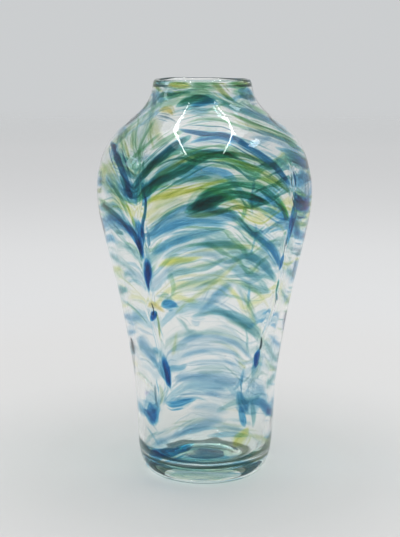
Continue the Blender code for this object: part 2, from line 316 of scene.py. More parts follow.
def film(name, colour, milk, soft, streak):
    """Coloured glass inside clear glass: a tint that is thin at the trail's edges and ends, drawn out into fine threads along it."""
    m, nt = new_material(name)
    out = add(nt, "ShaderNodeOutputMaterial")
    across, along, density, own = (attribute(nt, n) for n in ("across", "along", "amount", "own"))
    place = add(nt, "ShaderNodeCombineXYZ")
    nt.links.new(maths(nt, "MULTIPLY", along, 0.045), place.inputs["X"])
    nt.links.new(maths(nt, "MULTIPLY", across, 1.9), place.inputs["Y"])
    nt.links.new(maths(nt, "MULTIPLY", own, 13.7), place.inputs["Z"])
    drift = add(nt, "ShaderNodeTexNoise")
    drift.inputs["Scale"].default_value = 1.0
    drift.inputs["Detail"].default_value = 3.0
    drift.inputs["Roughness"].default_value = 0.55
    drift.inputs["Distortion"].default_value = 0.5
    nt.links.new(place.outputs[0], drift.inputs["Vector"])
    # the edge wanders with the drift noise
    bend = maths(nt, "MULTIPLY_ADD", drift.outputs["Fac"], 0.9, -0.45)
    edge_at = maths(nt, "ADD", maths(nt, "ABSOLUTE", maths(nt, "ADD", across, maths(nt, "MULTIPLY", bend, 0.35))), maths(nt, "MULTIPLY", bend, 0.35))
    edge = maths(nt, "SUBTRACT", 1.0, smoothstep(nt, edge_at, 1.0 - soft * 1.25, 0.93), clamp=True)
    hold = maths(nt, "SUBTRACT", 1.0, smoothstep(nt, maths(nt, "ABSOLUTE", across), 0.80, 0.99), clamp=True)
    thread_place = add(nt, "ShaderNodeCombineXYZ")
    nt.links.new(maths(nt, "MULTIPLY", along, 0.11), thread_place.inputs["X"])
    nt.links.new(maths(nt, "MULTIPLY", across, 5.5), thread_place.inputs["Y"])
    nt.links.new(maths(nt, "MULTIPLY", own, 29.1), thread_place.inputs["Z"])
    threads = add(nt, "ShaderNodeTexNoise")
    threads.inputs["Scale"].default_value = 1.0
    threads.inputs["Detail"].default_value = 2.5
    threads.inputs["Distortion"].default_value = 0.3
    nt.links.new(thread_place.outputs[0], threads.inputs["Vector"])
    thin = smoothstep(nt, threads.outputs["Fac"], 0.30, 0.66)
    thread = maths(nt, "MULTIPLY_ADD", thin, streak, 1.0 - streak)
    body = maths(nt, "MULTIPLY_ADD", drift.outputs["Fac"], 0.62, 0.33)
    amount = maths(nt, "MULTIPLY", maths(nt, "MULTIPLY", edge, hold), maths(nt, "MULTIPLY", thread, body))
    amount = maths(nt, "MULTIPLY", amount, density)
    half = maths(nt, "MULTIPLY", amount, 0.5)
    tint = add(nt, "ShaderNodeCombineColor")
    for channel, value in zip(("Red", "Green", "Blue"), passed(*colour)):
        nt.links.new(maths(nt, "POWER", value, half), tint.inputs[channel])
    clear = add(nt, "ShaderNodeBsdfTransparent")
    nt.links.new(tint.outputs[0], clear.inputs["Color"])
    body_shader = add(nt, "ShaderNodeBsdfTranslucent")
    body_shader.inputs["Color"].default_value = (*[linear(c) for c in colour], 1.0)
    mix = add(nt, "ShaderNodeMixShader")
    nt.links.new(maths(nt, "MULTIPLY", maths(nt, "MINIMUM", amount, 1.0), milk), mix.inputs["Fac"])
    nt.links.new(clear.outputs[0], mix.inputs[1])
    nt.links.new(body_shader.outputs[0], mix.inputs[2])
    nt.links.new(mix.outputs[0], out.inputs["Surface"])
    return m


FILMS = {key: film("film_" + key, *values) for key, values in PALETTE.items()}
OUTER_GLASS = clear_glass("glass_outer", 0.03, 1.0)
INNER_GLASS = clear_glass("glass_inner", 0.05, 2.0)
FUSED = fused_face("glass_fused_face")


# ---------------------------------------------------------------------------------------------------------------------
# the two clear gathers
# ---------------------------------------------------------------------------------------------------------------------
def columns():
    """Azimuth offsets of the mesh columns: (comb index, share of the way to the next comb), fine near each comb line."""
    out = []
    near = np.concatenate([np.linspace(0.0, 0.10, 21)[:-1], np.linspace(0.10, 0.90, 53)[:-1], np.linspace(0.90, 1.0, 21)[:-1]])
    for k in range(4):
        out += [(k, float(t)) for t in near]
    return out


COLUMNS = columns()


def column_azimuths(heights):
    """Azimuth of every column at every height, so that the mesh's columns follow the comb lines."""
    table = np.empty((len(heights), len(COLUMNS)))
    for j, (k, t) in enumerate(COLUMNS):
        a, b = comb_azimuth(k, heights), comb_azimuth(k + 1, heights)
        table[:, j] = a + (b - a) * t
    return table


def groove(azimuths, heights):
    """How far the comb has drawn the skin in, in mm, at each point: a narrow wandering furrow with a low lip on either side."""
    depth = np.zeros(azimuths.shape)
    r = np.interp(heights, SKIN.h, SKIN.r)[:, None]
    phases = np.random.default_rng(5).uniform(0, TAU, (4, 4))
    for k in range(-1, 5):
        phase = phases[k % 4]
        wander = (
            0.9 * np.sin(heights / 9.0 + phase[0]) + 0.7 * np.sin(heights / 4.3 + phase[1])
        )
        x = np.radians(azimuths - comb_azimuth(k, heights)[:, None]) * r - wander[:, None]
        strength = (
            np.clip((heights - 38.0) / 30.0, 0, 1) * np.clip((207.0 - heights) / 18.0, 0, 1)
            * (0.70 + 0.35 * np.sin(heights / 6.1 + phase[2]) + 0.25 * np.sin(heights / 2.9 + phase[3]))
        )
        depth += strength[:, None] * (0.24 * np.exp(-((x / 0.85) ** 2)) - 0.10 * np.exp(-(((np.abs(x) - 2.0) / 1.0) ** 2)))
    return depth


def grid_faces(rows, cols, offset=0, flip=False):
    faces = []
    for i in range(rows - 1):
        for j in range(cols):
            a = offset + i * cols + j
            b = offset + i * cols + (j + 1) % cols
            c, d = b + cols, a + cols
            faces.append((a, d, c, b) if flip else (a, b, c, d))
    return faces


def shell(name, rows, materials):
    """A closed turned body. rows is a list of (positions of one ring, material slot of the band above it), from the middle of one side round to the middle of the other; each end closes on a point."""
    cols = len(COLUMNS)
    verts = np.concatenate([r[0] for r in rows])
    faces, slots = [], []
    for i in range(len(rows) - 1):
        for j in range(cols):
            a, b = i * cols + j, i * cols + (j + 1) % cols
            faces.append((a, b, b + cols, a + cols))
            slots.append(rows[i][1])
    first, last = len(verts), len(verts) + 1
    verts = np.concatenate([verts, rows[0][0].mean(0)[None], rows[-1][0].mean(0)[None]])
    top = (len(rows) - 1) * cols
    for j in range(cols):
        faces.append((first, (j + 1) % cols, j))
        slots.append(rows[0][1])
        faces.append((last, top + j, top + (j + 1) % cols))
        slots.append(rows[-1][1])
    return mesh_object(name, verts, faces, materials, slots)


def flat_ring(radius, z, wobble=0.0, heights=0.0):
    az = np.radians(column_azimuths(np.array([heights]))[0])
    return np.stack([radius * np.sin(az) * MM + 0.5 * MM, -radius * np.cos(az) * MM, np.full(len(az), z * MM)], -1)


def wall_rings(low, high, depth, step, ripple, size, slot, furrow=0.0):
    """Rings up one face of the wall, at a depth, with that face's ripple. The cavity's face runs out thinner at the lip."""
    count = max(2, int(math.ceil((SKIN.along(high) - SKIN.along(low)) / step)))
    along = np.linspace(SKIN.along(low), SKIN.along(high), count + 1)
    heights = SKIN.height(along)
    az = column_azimuths(heights)
    fade = np.clip((heights - low) / 8.0, 0, 1) * np.clip((high - heights) / 6.0, 0, 1)
    inward = depth + size * ripple(np.radians(az), along[:, None]) * fade[:, None]
    if depth == WALL:
        inward = inward - (WALL - LIP) * np.clip((heights - 214.0) / 20.0, 0, 1)[:, None]
    if furrow:
        inward = inward + furrow * groove(az, heights)
    points = spot(az, along[:, None], inward)
    return [(points[i], slot) for i in range(len(along))]


def arc_rings(centre_r, centre_z, radius, start, end, count, slot, top=False):
    out = []
    for a in np.radians(np.linspace(start, end, count + 1)):
        out.append((flat_ring(centre_r + radius * math.cos(a), centre_z + radius * math.sin(a)), slot))
    return out


def lip_rings(count, slot):
    """The fire-polished lip, rounded over from the inner face to the outer."""
    base = SKIN.along(HEIGHT)
    h = HEIGHT
    r = float(np.interp(h, SKIN.h, SKIN.r))
    half = LIP / 2.0
    az = column_azimuths(np.array([h - half]))[0]
    a = np.radians(az)
    uneven = 0.22 * np.sin(2 * a + 0.7) + 0.14 * np.sin(3 * a + 2.0) + 0.08 * np.sin(7 * a)
    out = []
    for t in np.radians(np.linspace(180.0, 0.0, count + 1)):
        radius = r - half + half * math.cos(t) + 0.06 * np.sin(5 * a)
        z = h - half + (half + uneven) * math.sin(t) * 0.92
        out.append((np.stack([(radius * np.sin(a) + lean(h)) * MM, -radius * np.cos(a) * MM, z * MM * np.ones_like(a)], -1), slot))
    return out


CASING_FLOOR, UNDER_GATHER, GATHER_FLOOR_TOP = 4.0, 4.9, 7.6
KICK_RADIUS, KICK_HEIGHT, FOOT_INNER = 15.5, 2.2, 25.0


def outer_casing():
    rows = []
    # the fused side, from the middle of the floor up to the lip
    for r in (4.0, 12.0, 20.0, 27.0, 32.0):
        rows.append((flat_ring(r, CASING_FLOOR), 1))
    rows += arc_rings(34.0, 9.0, 5.0, -80, -10, 6, 1)
    rows += wall_rings(10.5, 236.9, CASING_DEPTH, 5.4, OUTER_RIPPLE, 0.0, 1)
    # out to the inner face just under the lip, then over the lip
    inner = wall_rings(236.9, 237.6, WALL, 0.4, INNER_RIPPLE, 0.0, 0)
    rows += inner
    rows += lip_rings(14, 0)[1:]
    outside = wall_rings(2.0, HEIGHT - LIP / 2 - 0.5, 0.0, 1.42, OUTER_RIPPLE, 0.07, 0, furrow=1.0)
    rows += list(reversed(outside))
    rows += [(flat_ring(36.0, 0.9), 0), (flat_ring(35.2, 0.3), 0), (flat_ring(34.0, 0.0), 0), (flat_ring(32.5, 0.0), 0), (flat_ring(29.0, 0.0), 0)]
    rows += [(flat_ring(FOOT_INNER, 0.0), 0), (flat_ring(23.0, 0.25), 0), (flat_ring(19.5, 1.2), 0), (flat_ring(KICK_RADIUS, KICK_HEIGHT), 0), (flat_ring(10.0, KICK_HEIGHT), 0), (flat_ring(3.0, KICK_HEIGHT), 0)]
    return shell("casing_glass", rows, [OUTER_GLASS, FUSED])


def inner_gather():
    rows = []
    for r in (3.0, 7.0, 11.0, 15.0, 18.5, 21.0):
        rows.append((flat_ring(r, GATHER_FLOOR_TOP + 0.0004 * (24.0 - r) ** 2), 0))
    reach, bowl = 15.0, 14.0
    base_r = float(np.interp(GATHER_FLOOR_TOP + bowl, SKIN.h, SKIN.r)) - WALL
    for a in np.radians(np.linspace(-84, -5, 22)):
        rows.append((flat_ring(base_r - reach + reach * math.cos(a), GATHER_FLOOR_TOP + bowl * (1 + math.sin(a))), 0))
    rows += wall_rings(GATHER_FLOOR_TOP + bowl + 0.8, 236.88, WALL, 1.6, INNER_RIPPLE, 0.14, 0, furrow=0.12)
    rows[-1] = (rows[-1][0], 1)
    outside = wall_rings(13.0, 236.88, GATHER_DEPTH, 3.0, OUTER_RIPPLE, 0.0, 1)
    rows += list(reversed(outside))
    corner_r = float(np.interp(13.0, SKIN.h, SKIN.r)) - GATHER_DEPTH
    rows += [(flat_ring(corner_r - 0.6, 10.5), 1), (flat_ring(corner_r - 2.4, 7.4), 1), (flat_ring(corner_r - 5.5, 5.4), 1)]
    rows += [(flat_ring(28.0, UNDER_GATHER), 1), (flat_ring(18.0, UNDER_GATHER), 1), (flat_ring(6.0, UNDER_GATHER), 1)]
    return shell("gather_glass", rows, [INNER_GLASS, FUSED])


casing = outer_casing()
gather = inner_gather()
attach(casing, "root"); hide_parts("outer_casing")
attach(gather, "root"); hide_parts("inner_gather")


# ---------------------------------------------------------------------------------------------------------------------
# trails
# ---------------------------------------------------------------------------------------------------------------------
RING = 14          # points round a trail's section
TRAIL_PITCH = 1.3  # mm between sections


def catmull(points, count):
    """A smooth line through the stations, evenly spaced by distance, with its widths."""
    p = np.asarray(points, float)
    metric = p.copy()
    chord = np.concatenate([[0.0], np.cumsum(np.hypot(np.diff(metric[:, 0]), np.diff(metric[:, 1])) ** 0.75)])
    slopes = np.empty_like(p)
    for i in range(len(p)):
        a, b = max(i - 1, 0), min(i + 1, len(p) - 1)
        if 0 < i < len(p) - 1:
            da, db = chord[i] - chord[a], chord[b] - chord[i]
            slopes[i] = ((p[i] - p[a]) / da * db + (p[b] - p[i]) / db * da) / (da + db)
        else:
            slopes[i] = (p[b] - p[a]) / (chord[b] - chord[a])
    fine = np.linspace(0, chord[-1], 40 * len(p))
    i = np.clip(np.searchsorted(chord, fine, side="right") - 1, 0, len(p) - 2)
    step = (chord[i + 1] - chord[i])[:, None]
    t = ((fine - chord[i]) / (chord[i + 1] - chord[i]))[:, None]
    line = (
        (2 * t**3 - 3 * t**2 + 1) * p[i] + (t**3 - 2 * t**2 + t) * step * slopes[i]
        + (-2 * t**3 + 3 * t**2) * p[i + 1] + (t**3 - t**2) * step * slopes[i + 1]
    )
    return line


class Ribbons:
    """Collects the lens-shaped ribbons of one trail into one mesh."""

    def __init__(self, name):
        self.name = name
        self.verts, self.faces, self.slots = [], [], []
        self.across, self.along, self.density, self.own = [], [], [], []
        self.keys = []
        self.total = 0

    def slot(self, key):
        if key not in self.keys:
            self.keys.append(key)
        return self.keys.index(key)

    def ribbon(self, key, density, stations, depth, thick, seed):
        """stations are (azimuth in degrees, height in mm, full width in mm)."""
        rng = np.random.default_rng(seed)
        st = np.asarray(stations, float)
        m = SKIN.along(st[:, 1])
        mean_r = np.interp(st[:, 1], SKIN.h, SKIN.r)
        # flatten to mm with a common radius, so that distances are about right
        flat_r = float(mean_r.mean())
        flat = np.stack([np.radians(st[:, 0]) * flat_r, m, st[:, 2]], -1)
        line = catmull(flat, 0)
        dist = np.concatenate([[0.0], np.cumsum(np.hypot(np.diff(line[:, 0]), np.diff(line[:, 1])))])
        length = dist[-1]
        count = max(8, int(length / TRAIL_PITCH))
        # closer together at the ends, where the ribbon rounds off
        u = 0.5 - 0.5 * np.cos(np.linspace(0, math.pi, count + 1))
        u = 0.65 * np.linspace(0, 1, count + 1) + 0.35 * u
        at = u * length
        x = np.interp(at, dist, line[:, 0])
        y = np.interp(at, dist, line[:, 1])
        w = np.clip(np.interp(at, dist, line[:, 2]), 0.5, None)
        tx, ty = np.gradient(x), np.gradient(y)
        size = np.hypot(tx, ty) + 1e-9
        nx, ny = -ty / size, tx / size
        phase = rng.uniform(0, TAU, 6)
        wander = 0.16 * np.sin(at / 5.3 + phase[0]) + 0.12 * np.sin(at / 2.3 + phase[1])
        x, y = x + nx * wander, y + ny * wander
        w = w * (1 + 0.10 * np.sin(at / 4.1 + phase[2]) + 0.07 * np.sin(at / 1.9 + phase[3]))
        cap = np.minimum(at, length - at) / max(1.0, min(0.5 * w.mean(), 0.3 * length))
        cap = np.clip(cap, 0.0, 1.0)
        taper = np.sqrt(np.clip(1 - (1 - cap) ** 2, 0, 1))
        w = w * np.clip(taper, 0.03, 1.0)
        phi = np.arange(RING) / RING * TAU
        v = np.cos(phi)
        half = 0.5 * w[:, None] * v[None, :]
        px = x[:, None] + nx[:, None] * half
        py = np.clip(y[:, None] + ny[:, None] * half, 3.0, SKIN.m[-1] - 1.1)
        local_r = np.interp(SKIN.height(py), SKIN.h, SKIN.r)
        # the flat sheet is wrapped with the radius of the centre line, so that widths hold at every height
        centre_h = SKIN.height(y)
        centre_r = np.interp(centre_h, SKIN.h, SKIN.r)
        az_centre = np.degrees(x / flat_r)
        az = az_centre[:, None] + np.degrees((px - x[:, None]) / centre_r[:, None])
        rise = np.sin(phi)[None, :] * 0.5 * thick * np.clip(taper, 0.05, 1.0)[:, None]
        pts = spot(az, py, depth - rise)
        base = self.total
        n = len(at)
        self.verts.append(pts.reshape(-1, 3))
        self.across.append(np.broadcast_to(v, (n, RING)).ravel())
        self.along.append(np.repeat(at, RING))
        fade = np.clip(np.minimum(at, length - at) / max(1.5, min(7.0, 0.25 * length)), 0, 1)
        self.density.append(np.repeat(density * (0.25 + 0.75 * fade * fade * (3 - 2 * fade)), RING))
        self.own.append(np.full(n * RING, float(seed % 97)))
        slot = self.slot(key)
        for i in range(n - 1):
            for j in range(RING):
                a, b = base + i * RING + j, base + i * RING + (j + 1) % RING
                self.faces.append((a, b, b + RING, a + RING))
                self.slots.append(slot)
        self.faces.append(tuple(base + j for j in reversed(range(RING))))
        self.faces.append(tuple(base + (n - 1) * RING + j for j in range(RING)))
        self.slots += [slot, slot]
        self.total += n * RING

    def flat(self, key, density, stations, z, thick, seed):
        """A ribbon lying level in the floor of the vase; stations are (x, y, full width) in mm."""
        line = catmull(stations, 0)
        dist = np.concatenate([[0.0], np.cumsum(np.hypot(np.diff(line[:, 0]), np.diff(line[:, 1])))])
        length = dist[-1]
        count = max(8, int(length / 0.9))
        at = np.linspace(0, length, count + 1)
        x, y, w = (np.interp(at, dist, line[:, i]) for i in range(3))
        tx, ty = np.gradient(x), np.gradient(y)
        size = np.hypot(tx, ty) + 1e-9
        cap = np.clip(np.minimum(at, length - at) / max(1.0, 0.5 * w.mean()), 0, 1)
        taper = np.clip(np.sqrt(np.clip(1 - (1 - cap) ** 2, 0, 1)), 0.03, 1)
        phi = np.arange(RING) / RING * TAU
        half = 0.5 * (w * taper)[:, None] * np.cos(phi)[None, :]
        px = x[:, None] - (ty / size)[:, None] * half
        py = y[:, None] + (tx / size)[:, None] * half
        pz = z + 0.5 * thick * taper[:, None] * np.sin(phi)[None, :]
        base, n = self.total, len(at)
        self.verts.append(np.stack([px * MM + 0.5 * MM, py * MM, pz * MM], -1).reshape(-1, 3))
        self.across.append(np.broadcast_to(np.cos(phi), (n, RING)).ravel())
        self.along.append(np.repeat(at, RING))
        self.density.append(np.repeat(density * (0.3 + 0.7 * cap), RING))
        self.own.append(np.full(n * RING, float(seed % 97)))
        slot = self.slot(key)
        for i in range(n - 1):
            for j in range(RING):
                a, b = base + i * RING + j, base + i * RING + (j + 1) % RING
                self.faces.append((a, b, b + RING, a + RING))
                self.slots.append(slot)
        self.faces.append(tuple(base + j for j in reversed(range(RING))))
        self.faces.append(tuple(base + (n - 1) * RING + j for j in range(RING)))
        self.slots += [slot, slot]
        self.total += n * RING

    def build(self):
        verts = np.concatenate(self.verts)
        obj = mesh_object(self.name, verts, self.faces, [FILMS[k] for k in self.keys], self.slots)
        for name, values in (("across", self.across), ("along", self.along), ("amount", self.density), ("own", self.own)):
            layer = obj.data.attributes.new(name, "FLOAT", "POINT")
            layer.data.foreach_set("value", np.concatenate(values).astype(np.float32))
        return obj


HALO = {
    "deep_teal": "blue_green", "dark_green": "green", "green": "pale_green", "pale_green": "sky", "olive": "pale_green",
    "lime": "pale_yellow", "yellow": "pale_yellow", "pale_yellow": "pale_green", "amber": "pale_yellow", "navy": "mid_blue",
    "cobalt": "mid_blue", "cusp_blue": "cobalt", "mid_blue": "sky", "blue_green": "grey_teal", "cornflower": "sky",
    "sky": "cornflower", "grey_teal": "sky", "slate": "sky", "lilac": "sky", "ink": "slate",
}


def part_of(stations, start, end, shift, width, count=7):
    """A run of a trail from start to end (shares of its length), moved sideways by a share of its width."""
    st = np.asarray(stations, float)
    t = np.linspace(0, 1, len(st))
    at = np.linspace(start, end, count)
    az, height, w = (np.interp(at, t, st[:, i]) for i in range(3))
    r = np.interp(height, SKIN.h, SKIN.r)
    dx, dy = np.gradient(np.radians(az) * r), np.gradient(height)
    size = np.hypot(dx, dy) + 1e-9
    off = shift * w
    az = az - np.degrees(dy / size * off / r)
    height = np.clip(height + dx / size * off, 4.0, 238.0)
    swell = np.sin(math.pi * (0.12 + 0.76 * np.linspace(0, 1, count)))
    return [(float(a), float(h), float(max(0.45, q))) for a, h, q in zip(az, height, (width(w) if callable(width) else width) * swell)]


def stroke(ribbons, key, density, stations, depth, seed, wide=1.22, fine=True):
    """A trail as it lies in the glass: its body, a paler haze round it, and the threads that the pull has drawn off it."""
    rng = np.random.default_rng(seed + 9000)
    body = [(a, h, w * wide) for a, h, w in stations]
    ribbons.ribbon(key, density, body, depth, 0.34 if len(stations) > 4 else 0.28, seed)
    if not fine:
        return
    halo = HALO[key]
    ribbons.ribbon(halo, density * 0.42, part_of(stations, 0.03, 0.97, rng.uniform(-0.35, 0.35), lambda w: w * 2.3 + 1.2), 1.55 + (depth - 0.9) % 1.1, 0.24, seed + 2000)
    for i in range(int(rng.integers(2, 4))):
        a = rng.uniform(0.0, 0.45)
        b = min(1.0, a + rng.uniform(0.35, 0.6))
        side = rng.choice([-1, 1]) * rng.uniform(0.55, 1.25)
        ribbons.ribbon(key if rng.random() < 0.55 else halo, density * rng.uniform(0.45, 0.85), part_of(stations, a, b, side, float(rng.uniform(0.7, 1.6))), 1.6 + rng.uniform(0, 0.9), 0.22, seed + 3000 + i * 500)


